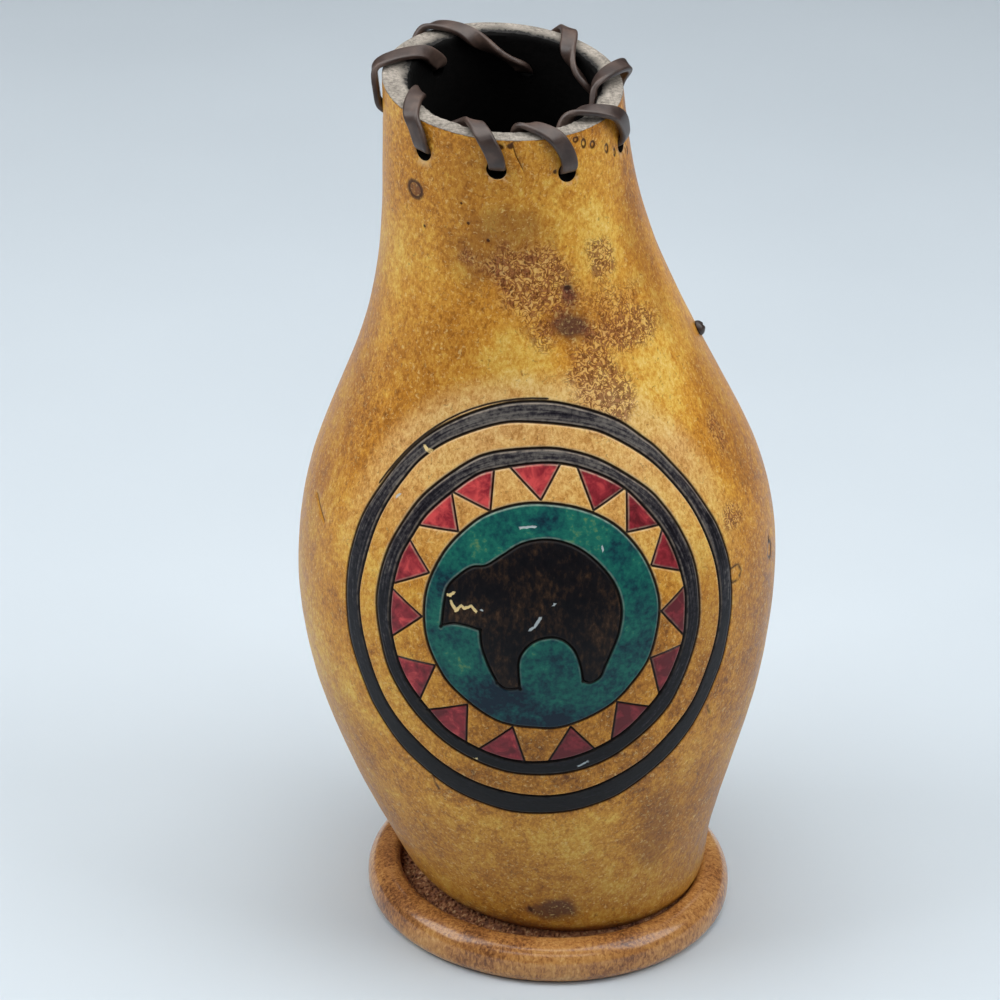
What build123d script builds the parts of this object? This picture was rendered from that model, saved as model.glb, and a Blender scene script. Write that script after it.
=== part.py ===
"""Carved gourd vase: a hollow dried gourd with a laced mouth, bedded in a turned wooden dish.

Millimetres, +Z up, origin in the middle of the dish's underside, painted medallion side facing -Y.
"""

from build123d import *

import os
from math import cos, hypot, pi, radians, sin

# Turned dish
dish_height = 7.6
dish_floor = 1.2
dish_rim_width = 5.9
dish_top_land = 0.5  # flat left between the two roundings of the rim's top
dish_foot_round = 3.0
foot_gap = 2.6  # between the gourd's heel and the dish's inner wall, where the rim starts to round over

# Bedding: rough brown filler that holds the gourd upright in the dish
bed_depth = 3.3
bed_under_foot = 0.4
bed_clearance = 0.1

# Gourd: heights are above its foot, and drift is the sideways place of a section's centre
foot_radius = 15.0  # flattened blossom end
foot_drift = 5.0
belly_height = 71.6
belly_radius = 42.9
belly_drift = -4.35
wall = 4.2

# Mouth: the neck is sawn off along a slightly tilted plane
mouth_height = 162.9
mouth_radius = 20.8
mouth_drift = -13.45
mouth_tilt_front = 4.3  # degrees, lower towards -Y
mouth_tilt_right = 1.7  # degrees, lower towards +X
neck_taper = 0.05  # loss of radius for each unit of height, near the mouth
neck_lean = 0.08  # drift to the left for each unit of height, near the mouth
saw_allowance = 5.0  # height of neck that the saw takes away

# Outline from foot to belly: shares of the way in height, in radius and in drift
body_outline = [
    (0.0, 0.0, 0.0),
    (0.032, 0.179, 0.109),
    (0.097, 0.416, 0.337),  # heel
    (0.18, 0.502, 0.522),
    (0.29, 0.602, 0.674),
    (0.43, 0.728, 0.804),
    (0.6, 0.864, 0.902),
    (0.79, 0.968, 0.978),
    (1.0, 1.0, 1.0),
]
cavity_start = 2  # the hollow begins at the heel

# Outline from belly to mouth, in the same shares
neck_outline = [
    (0.163, 0.095, 0.033),
    (0.326, 0.353, 0.133),  # shoulder
    (0.489, 0.633, 0.311),
    (0.652, 0.837, 0.578),
    (0.815, 0.946, 0.822),
]

# Rim lace: one flat leather lace whipped clockwise round the mouth
lace_width = 3.0
lace_thickness = 1.2
lace_clearance = 0.4
lacing_hole_slack = 0.16
lacing_depth = 6.0  # usual depth of a lacing hole below the sawn edge
arch_rise = 1.8  # height of the lace's middle over the sawn edge
hole_turn_rise = 1.6  # height of the turn through a lacing hole
turn_steps = 6  # straight facets in each half turn
outside_steps = 3
inside_steps = 4
tail_depth = 15.0  # how far below the edge the two cut ends hang inside
tail_spread = 16.0  # degrees between the two ends

# Stitches, in the order the lace makes them: angle of the hole, its depth as a share of the usual one,
# then how far round the lace leans up the outside and how far it sweeps over the edge (degrees)
lace_stitches = [
    (-90.5, 0.96, 5.5, 12.0),
    (-128.0, 0.97, 6.5, 21.0),
    (-178.0, 1.15, 5.0, 27.0),
    (-224.0, 1.08, 6.0, 19.0),
    (-289.0, 1.28, 10.0, 16.0),
    (-330.0, 0.92, 13.0, 24.0),
    (-379.0, 1.13, 3.0, 23.0),
    (-417.5, 1.16, 6.0, 16.5),
]

# Side knot: a short stub of lace knotted through the right shoulder
knot_angle = 6.0  # degrees round from +X
knot_height = 115.1  # above the gourd's foot
knot_radius = 1.4
knot_shank_radius = 0.8
knot_clearance = 0.2
knot_slack = 1.2  # play between the inner stop and the wall
knot_stop_length = 1.2

# Levels above the table, and sizes that follow from the ones above
foot_level = dish_floor + bed_under_foot
mouth_level = foot_level + mouth_height
lacing_hole_radius = hypot(lace_width / 2, lace_thickness) + lacing_hole_slack / 2
cutter_length = 4 * wall  # drills pass well clear of both faces of the wall
reach_rounds = 3  # enough to place a point of the wall within a hundredth of a millimetre


def between(low, high, shares):
    """Section between two main ones, each a height above the table, a radius and a drift."""
    return tuple(a + share * (b - a) for a, b, share in zip(low, high, shares))


foot = (foot_level, foot_radius, foot_drift)
belly = (foot_level + belly_height, belly_radius, belly_drift)
sawn_edge = (mouth_level, mouth_radius, mouth_drift)
gourd_sections = [between(foot, belly, shares) for shares in body_outline]
gourd_sections += [between(belly, sawn_edge, shares) for shares in neck_outline]
gourd_sections += [
    (mouth_level + rise, mouth_radius - neck_taper * rise, mouth_drift - neck_lean * rise)
    for rise in (-saw_allowance, saw_allowance)
]


def section_at(height):
    """Radius and drift of the gourd's outside at a height, between its two nearest sections."""
    pairs = list(zip(gourd_sections, gourd_sections[1:]))
    low, high = next((pair for pair in pairs if height <= pair[1][0]), pairs[-1])
    share = (height - low[0]) / (high[0] - low[0])
    return tuple(a + share * (b - a) for a, b in zip(low[1:], high[1:]))


def slope_at(index):
    """Change of radius with height at a section, from its neighbours."""
    low = gourd_sections[max(index - 1, 0)]
    high = gourd_sections[min(index + 1, len(gourd_sections) - 1)]
    return (high[1] - low[1]) / (high[0] - low[0])


def section_circle(height, radius, drift):
    """One round section of the gourd, drawn on its own level plane."""
    with BuildSketch(Plane.XY.offset(height)) as section:
        with Locations((drift, 0)):
            Circle(radius)
    return section.sketch


def outside_circles(growth=0.0):
    """Sections of the gourd's outside, or of a slightly larger one."""
    return [section_circle(height, radius + growth, drift) for height, radius, drift in gourd_sections]


def inside_circles():
    """Sections of the hollow, the wall's thickness inside the outside's slope."""
    return [
        section_circle(height, radius - wall * hypot(1, slope_at(index)), drift)
        for index, (height, radius, drift) in enumerate(gourd_sections)
        if index >= cavity_start
    ]


# Plane of the sawn edge
mouth = Plane(
    origin=(mouth_drift, 0, mouth_level),
    x_dir=(1, 0, -sin(radians(mouth_tilt_right))),
    z_dir=(sin(radians(mouth_tilt_right)), -sin(radians(mouth_tilt_front)), 1),
)


def mouth_ray(angle):
    """Direction outward from the mouth's centre, in the sawn plane."""
    return mouth.x_dir * cos(radians(angle)) + mouth.y_dir * sin(radians(angle))


def wall_point(angle, across, level):
    """Point of the neck's wall: across is outward from mid-wall, level is up from the sawn edge."""
    ray = mouth_ray(angle)
    start = mouth.origin + mouth.z_dir * min(level, 0)
    reach = mouth_radius
    for _ in range(reach_rounds):
        radius, drift = section_at((start + ray * reach).Z)
        ahead = (start.X - drift) * ray.X + start.Y * ray.Y
        flat = ray.X**2 + ray.Y**2
        offset = (start.X - drift) ** 2 + start.Y**2 - radius**2
        reach = (-ahead + (ahead**2 - flat * offset) ** 0.5) / flat
    return mouth.origin + mouth.z_dir * level + ray * (reach - wall / 2 + across)


def wall_facing(point):
    """Level direction in which the gourd's wall faces at a point."""
    _, drift = section_at(min(point.Z, mouth_level))
    return Vector(point.X - drift, point.Y, 0).normalized()


# Gourd shell: lofted outside, hollow, sawn mouth, lacing holes and the side knot's hole
knot_level = foot_level + knot_height
shoulder_radius, shoulder_drift = section_at(knot_level)
shoulder = min(range(len(gourd_sections)), key=lambda index: abs(gourd_sections[index][0] - knot_level))
knot_plane = Plane(
    origin=(
        shoulder_drift + shoulder_radius * cos(radians(knot_angle)),
        shoulder_radius * sin(radians(knot_angle)),
        knot_level,
    ),
    z_dir=(cos(radians(knot_angle)), sin(radians(knot_angle)), -slope_at(shoulder)),
)

with BuildPart() as gourd_shell:
    loft(outside_circles())
    loft(inside_circles(), mode=Mode.SUBTRACT)
    split(bisect_by=mouth, keep=Keep.BOTTOM)
    for hole_angle, depth_share, _, _ in lace_stitches:
        hole = wall_point(hole_angle, 0, -depth_share * lacing_depth)
        with Locations(Plane(origin=hole, z_dir=mouth_ray(hole_angle))):
            Cylinder(lacing_hole_radius, cutter_length, mode=Mode.SUBTRACT)
    with Locations(knot_plane):
        Cylinder(knot_shank_radius + knot_clearance, cutter_length, mode=Mode.SUBTRACT)
gourd_shell.part.label = "gourd_shell"


# Rim lace: a flat section carried along its stitches, from one cut end to the other
leg_offset = wall / 2 + lace_clearance + lace_thickness / 2


def turn(angles, base_level, rise, side, part_turns):
    """Stations of a turn across the wall, from the given side (1 outside, -1 inside).

    Each station is an angle, an across, a level, and the two parts of the lace's own normal.
    """
    first_angle, last_angle = angles
    stations = []
    for share in part_turns:
        swing = pi * share
        stations.append((
            first_angle + (last_angle - first_angle) * share,
            side * leg_offset * cos(swing),
            base_level + rise * sin(swing),
            side * cos(swing) * abs(rise),
            sin(swing) * leg_offset * (1 if rise > 0 else -1),
        ))
    return stations


def leg(angles, levels, side, steps):
    """Stations inside a leg that lies along the wall, without its two ends."""
    return [
        (
            angles[0] + (angles[1] - angles[0]) * step / steps,
            side * leg_offset,
            levels[0] + (levels[1] - levels[0]) * step / steps,
            side,
            0,
        )
        for step in range(1, steps)
    ]


half_turn = [step / turn_steps for step in range(turn_steps + 1)]
second_quarter = [share for share in half_turn if share > 0.5]
full_round = 360
stitches = [(angle, share * lacing_depth, lean, sweep) for angle, share, lean, sweep in lace_stitches]
first_hole, first_depth, _, _ = stitches[0]
last_end = (first_hole - full_round + tail_spread, tail_depth + hole_turn_rise, 0, 0)

# The first end rises inside to its hole, and each stitch then runs hole, outside, edge, inside
lace_route = [(first_hole, -leg_offset, -tail_depth, 1, 0)]
for swing in (pi * share for share in half_turn if share <= 0.5):
    lace_route.append((
        first_hole,
        -leg_offset * cos(swing),
        -first_depth - hole_turn_rise * (1 - sin(swing)),
        hole_turn_rise * cos(swing),
        -leg_offset * sin(swing),
    ))
for stitch, (next_angle, next_depth, _, _) in zip(stitches, stitches[1:] + [last_end]):
    hole_angle, hole_depth, lean, sweep = stitch
    hole_level = hole_turn_rise - hole_depth
    edge_angle = hole_angle - lean
    inner_angle = edge_angle - sweep
    hole_shares = second_quarter if stitch == stitches[0] else half_turn
    lace_route += turn((hole_angle, hole_angle), hole_level, -hole_turn_rise, -1, hole_shares)
    lace_route += leg((hole_angle, edge_angle), (hole_level, 0), 1, outside_steps)
    lace_route += turn((edge_angle, inner_angle), 0, arch_rise, 1, half_turn)
    lace_route += leg((inner_angle, next_angle), (0, hole_turn_rise - next_depth), -1, inside_steps)
lace_route.append((last_end[0], -leg_offset, -tail_depth, -1, 0))

lace_points = [wall_point(*station[:3]) for station in lace_route]
lace_planes = []
for index, (_, _, _, normal_across, normal_level) in enumerate(lace_route):
    before = lace_points[max(index - 1, 0)]
    after = lace_points[min(index + 1, len(lace_points) - 1)]
    along = (after - before).normalized()
    face = wall_facing(lace_points[index]) * normal_across + mouth.z_dir * normal_level
    lace_planes.append(Plane(origin=lace_points[index], x_dir=along.cross(face), z_dir=along))

with BuildPart() as rim_lace:
    for plane in lace_planes:
        with BuildSketch(plane):
            Rectangle(lace_width, lace_thickness)
    loft(ruled=True)
rim_lace.part.label = "rim_lace"

# Least gap of the lace to itself, between outline points further apart along it than one turn
one_turn = pi * (leg_offset + lace_thickness)
corners = [(x * lace_width / 2, y * lace_thickness / 2, 0) for x in (-1, 0, 1) for y in (-1, 1)]
outline = [[plane.from_local_coords(corner) for corner in corners] for plane in lace_planes]
lace_runs = [(b - a).length for a, b in zip(lace_points, lace_points[1:])]
travel = [sum(lace_runs[:index]) for index in range(len(lace_points))]
least_gap = min(
    (p - q).length
    for i in range(len(outline))
    for j in range(i + 1, len(outline))
    if travel[j] - travel[i] > one_turn
    for p in outline[i]
    for q in outline[j]
)
print(f"rim lace: length {sum(lace_runs):.0f} mm, least gap to itself {least_gap:.2f} mm")

# Side knot: bead outside, shank through the wall, flat stop inside
knot_wall = wall + knot_slack
with BuildPart() as side_knot:
    with BuildSketch(Plane(origin=knot_plane.origin, x_dir=knot_plane.x_dir, z_dir=knot_plane.y_dir)):
        with BuildLine():
            Polyline(
                (0, -knot_radius - knot_clearance),
                (0, knot_wall + knot_stop_length),
                (knot_radius, knot_wall + knot_stop_length),
                (knot_radius, knot_wall),
                (knot_shank_radius, knot_wall),
                (knot_shank_radius, -knot_clearance),
                (knot_radius, -knot_clearance),
            )
            CenterArc((0, -knot_clearance), knot_radius, -90, 90)
        make_face()
    revolve(axis=Axis(knot_plane.origin, knot_plane.z_dir))
side_knot.part.label = "side_knot"

# Dish: ring with a rounded top and a flat floor, turned in one piece
rim_round = (dish_rim_width - dish_top_land) / 2
heel_radius, heel_drift = section_at(dish_height - rim_round)
dish_bore = heel_radius + abs(heel_drift) + foot_gap
dish_radius = dish_bore + dish_rim_width
with BuildPart() as base_dish:
    Cylinder(dish_radius, dish_height, align=(Align.CENTER, Align.CENTER, Align.MIN))
    with Locations((0, 0, dish_floor)):
        Cylinder(dish_bore, dish_height, align=(Align.CENTER, Align.CENTER, Align.MIN), mode=Mode.SUBTRACT)
    fillet(base_dish.edges().group_by(Axis.Z)[-1], rim_round)
    fillet(base_dish.edges().group_by(Axis.Z)[0], dish_foot_round)
base_dish.part.label = "base_dish"

# Bedding: a disc on the dish's floor with the gourd's foot pressed into it
with BuildPart() as foot_bedding:
    with Locations((0, 0, dish_floor)):
        Cylinder(dish_bore - bed_clearance, bed_depth, align=(Align.CENTER, Align.CENTER, Align.MIN))
    loft(outside_circles(growth=bed_clearance), mode=Mode.SUBTRACT)
foot_bedding.part.label = "foot_bedding"

os.makedirs("parts", exist_ok=True)
for piece in (gourd_shell, rim_lace, side_knot, base_dish, foot_bedding):
    export_step(piece.part, f"parts/{piece.part.label}.step")
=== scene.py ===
from math import cos, hypot, pi, radians, sin

import bmesh
import bpy
import numpy as np
from mathutils import Matrix, Vector, noise
from mathutils.bvhtree import BVHTree
from mathutils.geometry import delaunay_2d_cdt
from numpy.polynomial import Chebyshev


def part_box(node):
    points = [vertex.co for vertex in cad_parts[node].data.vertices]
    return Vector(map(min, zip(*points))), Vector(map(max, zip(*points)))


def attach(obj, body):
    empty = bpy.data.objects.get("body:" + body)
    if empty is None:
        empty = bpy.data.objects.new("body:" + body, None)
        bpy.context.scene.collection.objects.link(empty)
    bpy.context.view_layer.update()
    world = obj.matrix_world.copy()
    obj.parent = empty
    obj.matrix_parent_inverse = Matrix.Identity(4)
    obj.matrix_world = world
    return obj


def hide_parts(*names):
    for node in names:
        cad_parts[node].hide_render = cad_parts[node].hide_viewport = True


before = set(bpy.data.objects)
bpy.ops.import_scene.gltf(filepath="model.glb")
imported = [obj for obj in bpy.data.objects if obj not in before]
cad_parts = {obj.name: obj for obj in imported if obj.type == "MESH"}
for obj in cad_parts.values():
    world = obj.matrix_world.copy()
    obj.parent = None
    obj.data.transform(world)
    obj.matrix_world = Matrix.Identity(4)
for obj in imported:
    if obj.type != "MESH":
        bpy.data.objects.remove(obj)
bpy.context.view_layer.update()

# Dish: a shallow round dish turned from a slice of hardwood, with a fat rounded rim, stained
# brown and lacquered. It carries the gourd, and its flat underside is all that touches the table.
MM = 0.001
dish_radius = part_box("base_dish")[1].x / MM
dish_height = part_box("base_dish")[1].z / MM
bed_low, bed_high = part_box("foot_bedding")
bed_clearance = 0.1
dish_bore = bed_high.x / MM + bed_clearance
dish_floor = bed_low.z / MM
dish_rim_round = 4.0
dish_inner_round = 1.6
dish_foot_round = 2.6
dish_corner = 0.6
dish_turns = 256
arc_steps = 12
chisel_mark_width = 9.0
chisel_mark_share = 0.0022  # of the radius


def arc(across, level, radius, start, end):
    """Points of a round stretch of a profile, between two angles in degrees."""
    angles = np.radians(np.linspace(start, end, arc_steps))
    return [(across + radius * np.cos(a), level + radius * np.sin(a)) for a in angles]


def band(rings, around):
    """Faces between rings of points, each one closed round."""
    faces = []
    for row in range(rings - 1):
        for column in range(around):
            after = (column + 1) % around
            low, high = row * around, (row + 1) * around
            faces.append((low + column, low + after, high + after, high + column))
    return faces


def lathe(profile, turns):
    """Points and faces of a profile (radius, height) turned once round the Z axis."""
    angles = np.arange(turns) * 2 * pi / turns
    points = [(r * cos(a), r * sin(a), z) for r, z in profile for a in angles]
    return np.array(points), band(len(profile), turns)


def uneven(points, size, amount):
    """Smooth random rise and fall at points, for bumps about as wide as size."""
    return np.array([noise.noise(Vector(p) / size) for p in points]) * amount


def new_piece(name, points, faces, materials, face_slots=None, fields=None, crease=None):
    """A mesh object at the origin, from points in millimetres, with its shared corners merged.

    Fields are numbers at the points for materials to read, and crease is the angle in degrees over
    which an edge stays sharp.
    """
    mesh = bpy.data.meshes.new(name)
    mesh.from_pydata((np.asarray(points) * MM).tolist(), [], [list(map(int, face)) for face in faces])
    for material in materials:
        mesh.materials.append(material)
    if face_slots is not None:
        mesh.polygons.foreach_set("material_index", np.asarray(face_slots, np.int32))
    for label, values in (fields or {}).items():
        numbers = mesh.attributes.new(label, "FLOAT", "POINT").data
        numbers.foreach_set("value", np.asarray(values, np.float32))
    form = bmesh.new()
    form.from_mesh(mesh)
    bmesh.ops.remove_doubles(form, verts=form.verts, dist=0.0005 * MM)
    bmesh.ops.recalc_face_normals(form, faces=form.faces)
    form.to_mesh(mesh)
    form.free()
    mesh.polygons.foreach_set("use_smooth", np.ones(len(mesh.polygons), bool))
    if crease is not None:
        mesh.set_sharp_from_angle(angle=radians(crease))
    piece = bpy.data.objects.new(name, mesh)
    bpy.context.scene.collection.objects.link(piece)
    return piece


def linear(code):
    """Linear colour of an sRGB hex code."""
    channels = [int(code[i:i + 2], 16) / 255 for i in (1, 3, 5)]
    return [c / 12.92 if c <= 0.04045 else ((c + 0.055) / 1.055) ** 2.4 for c in channels] + [1.0]


def add(tree, kind, settings=None, inputs=None, stops=None):
    """A node with its settings, its inputs set or linked, and a colour ramp's stops.

    A node given as an input is linked by its first output in use, and a colour is given as its code.
    """
    node = tree.nodes.new(kind)
    for name, value in (settings or {}).items():
        setattr(node, name, value)
    for name, value in (inputs or {}).items():
        if isinstance(value, bpy.types.Node):
            value = next(socket for socket in value.outputs if socket.enabled)
        if isinstance(value, bpy.types.NodeSocket):
            tree.links.new(value, node.inputs[name])
        elif isinstance(value, str) and value.startswith("#"):
            node.inputs[name].default_value = linear(value)
        else:
            node.inputs[name].default_value = value
    if stops:
        ramp = node.color_ramp.elements
        while len(ramp) < len(stops):
            ramp.new(1.0)
        for element, (place, code) in zip(ramp, stops):
            element.position = place
            element.color = linear(code)
    return node


def new_material(name):
    """An empty node material, and its tree."""
    material = bpy.data.materials.new(name)
    material.use_nodes = True
    material.node_tree.nodes.clear()
    return material, material.node_tree


def per_mm(size):
    """Texture scale, per metre of Object coordinates, for marks about that many millimetres wide."""
    return 1 / (size * MM)


def total(tree, *parts):
    """A sum of numbers, each given with its share."""
    so_far = 0.0
    for value, share in parts:
        so_far = add(tree, "ShaderNodeMath", {"operation": "MULTIPLY_ADD"}, {0: value, 1: share, 2: so_far})
    return so_far


def finish(tree, colour, roughness, height, bump, depth, coat=0.0, coat_roughness=0.3, specular=0.5):
    """The end of a material: its colour, gloss and fine relief, depth millimetres deep, on one shader."""
    relief = add(tree, "ShaderNodeBump", inputs={
        "Height": height, "Strength": bump, "Distance": depth * MM})
    shader = add(tree, "ShaderNodeBsdfPrincipled", inputs={
        "Base Color": colour, "Roughness": roughness, "Normal": relief, "IOR": 1.47,
        "Coat Weight": coat, "Coat Roughness": coat_roughness, "Specular IOR Level": specular})
    add(tree, "ShaderNodeOutputMaterial", inputs={"Surface": shader})


def lacquered_hardwood():
    """Stained hardwood under clear lacquer: golden brown, with short dark flecks of upright fibres."""
    material, tree = new_material("lacquered hardwood")
    place = add(tree, "ShaderNodeTexCoord").outputs["Object"]
    upright = add(tree, "ShaderNodeMapping", inputs={"Vector": place, "Scale": (1, 1, 0.5)})
    fleck = add(tree, "ShaderNodeTexNoise", inputs={
        "Vector": upright, "Scale": per_mm(0.6), "Detail": 3.0, "Roughness": 0.65, "Distortion": 0.6})
    cloud = add(tree, "ShaderNodeTexNoise", inputs={"Vector": place, "Scale": per_mm(9.0)})
    tone = total(tree, (fleck, 0.62), (cloud, 0.38))
    colour = add(tree, "ShaderNodeValToRGB", inputs={"Fac": tone}, stops=[
        (0.34, "#613A20"), (0.43, "#935F35"), (0.5, "#B87E45"), (0.58, "#CB9352"), (0.68, "#DDAF70")])
    gloss = add(tree, "ShaderNodeMapRange", inputs={
        "Value": fleck, "From Min": 0.3, "From Max": 0.7, "To Min": 0.3, "To Max": 0.46})
    finish(tree, colour, gloss, fleck, bump=0.16, depth=0.1, coat=0.9, coat_roughness=0.17, specular=0.12)
    return material


side_levels = np.linspace(dish_height - dish_rim_round, dish_foot_round, 5)[1:-1]
dish_profile = [(0.0, dish_floor), (dish_bore * 0.6, dish_floor), (dish_bore - dish_corner, dish_floor)]
dish_profile += [(dish_bore, dish_floor + dish_corner)]
dish_profile += arc(dish_bore + dish_inner_round, dish_height - dish_inner_round, dish_inner_round, 180, 90)
dish_profile += arc(dish_radius - dish_rim_round, dish_height - dish_rim_round, dish_rim_round, 90, 0)
dish_profile += [(dish_radius, level) for level in side_levels]
dish_profile += arc(dish_radius - dish_foot_round, dish_foot_round, dish_foot_round, 0, -90)
dish_profile += [(dish_radius * 0.5, 0.0), (0.0, 0.0)]
dish_points, dish_faces = lathe(dish_profile, dish_turns)
turned_by_hand = 1 + uneven(dish_points, chisel_mark_width, chisel_mark_share)
dish_points[:, :2] *= np.minimum(turned_by_hand, 1.0)[:, None]
dish = new_piece("turned_dish", dish_points, dish_faces, [lacquered_hardwood()])
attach(dish, "root")
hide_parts("base_dish")

# Bedding: coarse brown sawdust set in glue, poured between the gourd's foot and the dish. It holds
# the gourd upright, and its loose grains stand up round the edge.
grain_size = 0.8
grains_per_square_mm = 2.6
heap_rise = 3.6  # most of it hidden by the gourd's foot
heap_behind = 0.35  # share of that rise at the back
heap_margin = 1.0  # level strip left beside the dish
top_slack = 0.05  # how far under the bed's top a face still counts as its top


def glued_sawdust():
    """Sawdust stiff with brown glue: each grain has its own shade, and a few pale chips show."""
    material, tree = new_material("glued sawdust")
    place = add(tree, "ShaderNodeTexCoord").outputs["Object"]
    grain, grit = [add(tree, "ShaderNodeTexNoise", inputs={"Vector": place, "Scale": per_mm(size)})
                   for size in (0.9, 0.25)]
    colour = add(tree, "ShaderNodeValToRGB", inputs={"Fac": grain}, stops=[
        (0.3, "#573422"), (0.46, "#8B5839"), (0.59, "#A8754D"), (0.72, "#D2AB80")])
    finish(tree, colour, 0.72, grit, bump=0.4, depth=0.1)
    return material


def new_node_tree(name, sizes):
    """A geometry tree with a mesh in, a mesh out and named sizes, and its two end nodes."""
    tree = bpy.data.node_groups.new(name, "GeometryNodeTree")
    tree.interface.new_socket("Mesh", in_out="INPUT", socket_type="NodeSocketGeometry")
    for size in sizes:
        tree.interface.new_socket(size, in_out="INPUT", socket_type="NodeSocketFloat")
    tree.interface.new_socket("Mesh", in_out="OUTPUT", socket_type="NodeSocketGeometry")
    return tree, add(tree, "NodeGroupInput"), add(tree, "NodeGroupOutput")


def grow(piece, tree, sizes):
    """Runs a geometry tree on a piece with its sizes set, and keeps the result as a plain mesh."""
    modifier = piece.modifiers.new(tree.name, "NODES")
    modifier.node_group = tree
    for item in tree.interface.items_tree:
        if item.in_out == "INPUT" and item.name in sizes:
            modifier[item.identifier] = sizes[item.name]
    ready = piece.evaluated_get(bpy.context.evaluated_depsgraph_get())
    result = bpy.data.meshes.new_from_object(ready)
    piece.modifiers.clear()
    piece.data = result


sawdust = glued_sawdust()
bed_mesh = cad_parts["foot_bedding"].data.copy()
bed_form = bmesh.new()
bed_form.from_mesh(bed_mesh)
bmesh.ops.remove_doubles(bed_form, verts=bed_form.verts, dist=0.001 * MM)
bed_form.to_mesh(bed_mesh)
bed_form.free()
bed_mesh.materials.clear()
bed_mesh.materials.append(sawdust)
bed_top = bed_high.z - top_slack * MM
top_faces = [face.center.z > bed_top and face.normal.z > 0.9 for face in bed_mesh.polygons]
bed_mesh.attributes.new("top", "BOOLEAN", "FACE").data.foreach_set("value", top_faces)
# The grains climb the foot, most of all in front
for vertex in bed_mesh.vertices:
    x, y, z = vertex.co / MM
    if z > bed_top / MM and hypot(x, y) < dish_bore - heap_margin:
        forward = max(0.0, -y / hypot(x, y))
        vertex.co.z += heap_rise * MM * (heap_behind + (1 - heap_behind) * forward)
bedding = bpy.data.objects.new("sawdust_bed", bed_mesh)
bpy.context.scene.collection.objects.link(bedding)

bed_tree, bed_in, bed_out = new_node_tree("sawdust grains", ["Grain Size", "Density"])
on_top = add(bed_tree, "GeometryNodeInputNamedAttribute", {"data_type": "BOOLEAN"}, {"Name": "top"})
scatter = add(bed_tree, "GeometryNodeDistributePointsOnFaces", inputs={
    "Mesh": bed_in.outputs["Mesh"], "Selection": on_top.outputs["Attribute"],
    "Density": bed_in.outputs["Density"], "Seed": 3})
half_grain = add(bed_tree, "ShaderNodeMath", {"operation": "MULTIPLY"}, {
    0: bed_in.outputs["Grain Size"], 1: 0.5})
grain = add(bed_tree, "GeometryNodeMeshIcoSphere", inputs={
    "Radius": half_grain.outputs[0], "Subdivisions": 1})
turn_any = add(bed_tree, "FunctionNodeRandomValue", {"data_type": "FLOAT_VECTOR"}, {
    "Max": (2 * pi, 2 * pi, 2 * pi), "Seed": 5})
stretch_any = add(bed_tree, "FunctionNodeRandomValue", {"data_type": "FLOAT_VECTOR"}, {
    "Min": (0.5, 0.5, 0.5), "Max": (1.9, 1.2, 1.2), "Seed": 8})
grains = add(bed_tree, "GeometryNodeInstanceOnPoints", inputs={
    "Points": scatter.outputs["Points"], "Instance": grain.outputs["Mesh"],
    "Rotation": turn_any.outputs[0], "Scale": stretch_any.outputs[0]})
loose = add(bed_tree, "GeometryNodeRealizeInstances", inputs={0: grains.outputs[0]})
heap = add(bed_tree, "GeometryNodeJoinGeometry", inputs={0: bed_in.outputs["Mesh"]})
bed_tree.links.new(loose.outputs[0], heap.inputs[0])
bed_finish = add(bed_tree, "GeometryNodeSetMaterial", inputs={0: heap.outputs[0], "Material": sawdust})
bed_tree.links.new(bed_finish.outputs[0], bed_out.inputs[0])
grow(bedding, bed_tree, {"Grain Size": grain_size * MM, "Density": grains_per_square_mm / MM**2})
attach(bedding, "root")
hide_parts("foot_bedding")

# Gourd: one hollow dried gourd, scraped, dyed golden brown and waxed, with its neck sawn off and its
# inside blackened. The round medallion is cut into its skin with a knife and painted, and eight holes
# are drilled below the sawn edge for the lace, and one in the shoulder for its knot.
wall = 4.2
thinner_front = 1.3
thinner_back = 0.2
thicker_left = 0.8
thinnest_turn = 0.1  # radians round from the front
mouth_level = 164.5
mouth_drift = -13.45
mouth_lean_right = sin(radians(1.7))
mouth_lean_front = sin(radians(4.3))
foot_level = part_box("gourd_shell")[0].z / MM
outline_degree = 18
cad_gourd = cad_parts["gourd_shell"].data
cad_skin = BVHTree.FromPolygons([v.co / MM for v in cad_gourd.vertices],
                                [p.vertices[:] for p in cad_gourd.polygons])
unpierced = [(cos(radians(a)), sin(radians(a)), 0) for a in (0, 105, -110)]  # ways past every hole
outside = 200.0


def measured_section(level):
    """Radius and sideways drift of the gourd at a level, from three points of its outside."""
    rows, sums = [], []
    for way in map(Vector, unpierced):
        point = cad_skin.ray_cast(Vector((0, 0, level)) + way * outside, -way)[0]
        rows.append((2 * point.x, 2 * point.y, 1))
        sums.append(point.x**2 + point.y**2)
    x, y, rest = np.linalg.solve(rows, sums)
    return (rest + x * x + y * y) ** 0.5, x


# The outline is carried on straight a little past the sawn edge
levels = np.linspace(foot_level + 0.8, mouth_level - 2.6, 120)
sections = np.array([measured_section(level) for level in levels])
past_edge = np.linspace(1, 11, 8)
end_slope = (sections[-1] - sections[-6]) / (levels[-1] - levels[-6])
all_levels = np.append(levels, levels[-1] + past_edge)
all_sections = np.vstack([sections, sections[-1] + past_edge[:, None] * end_slope])
gourd_radius = Chebyshev.fit(all_levels, all_sections[:, 0], outline_degree)
gourd_drift = Chebyshev.fit(all_levels, all_sections[:, 1], outline_degree)
radius_slope = gourd_radius.deriv()
drift_slope = gourd_drift.deriv()


def skin_point(angle, level, inset=0.0):
    """Points of the gourd at angles in radians and levels, inset square to its outside."""
    radius = gourd_radius(level) - inset * np.hypot(1, radius_slope(level))
    x = gourd_drift(level) + radius * np.cos(angle)
    return np.stack([x, radius * np.sin(angle), level + 0 * angle], -1)


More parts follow.
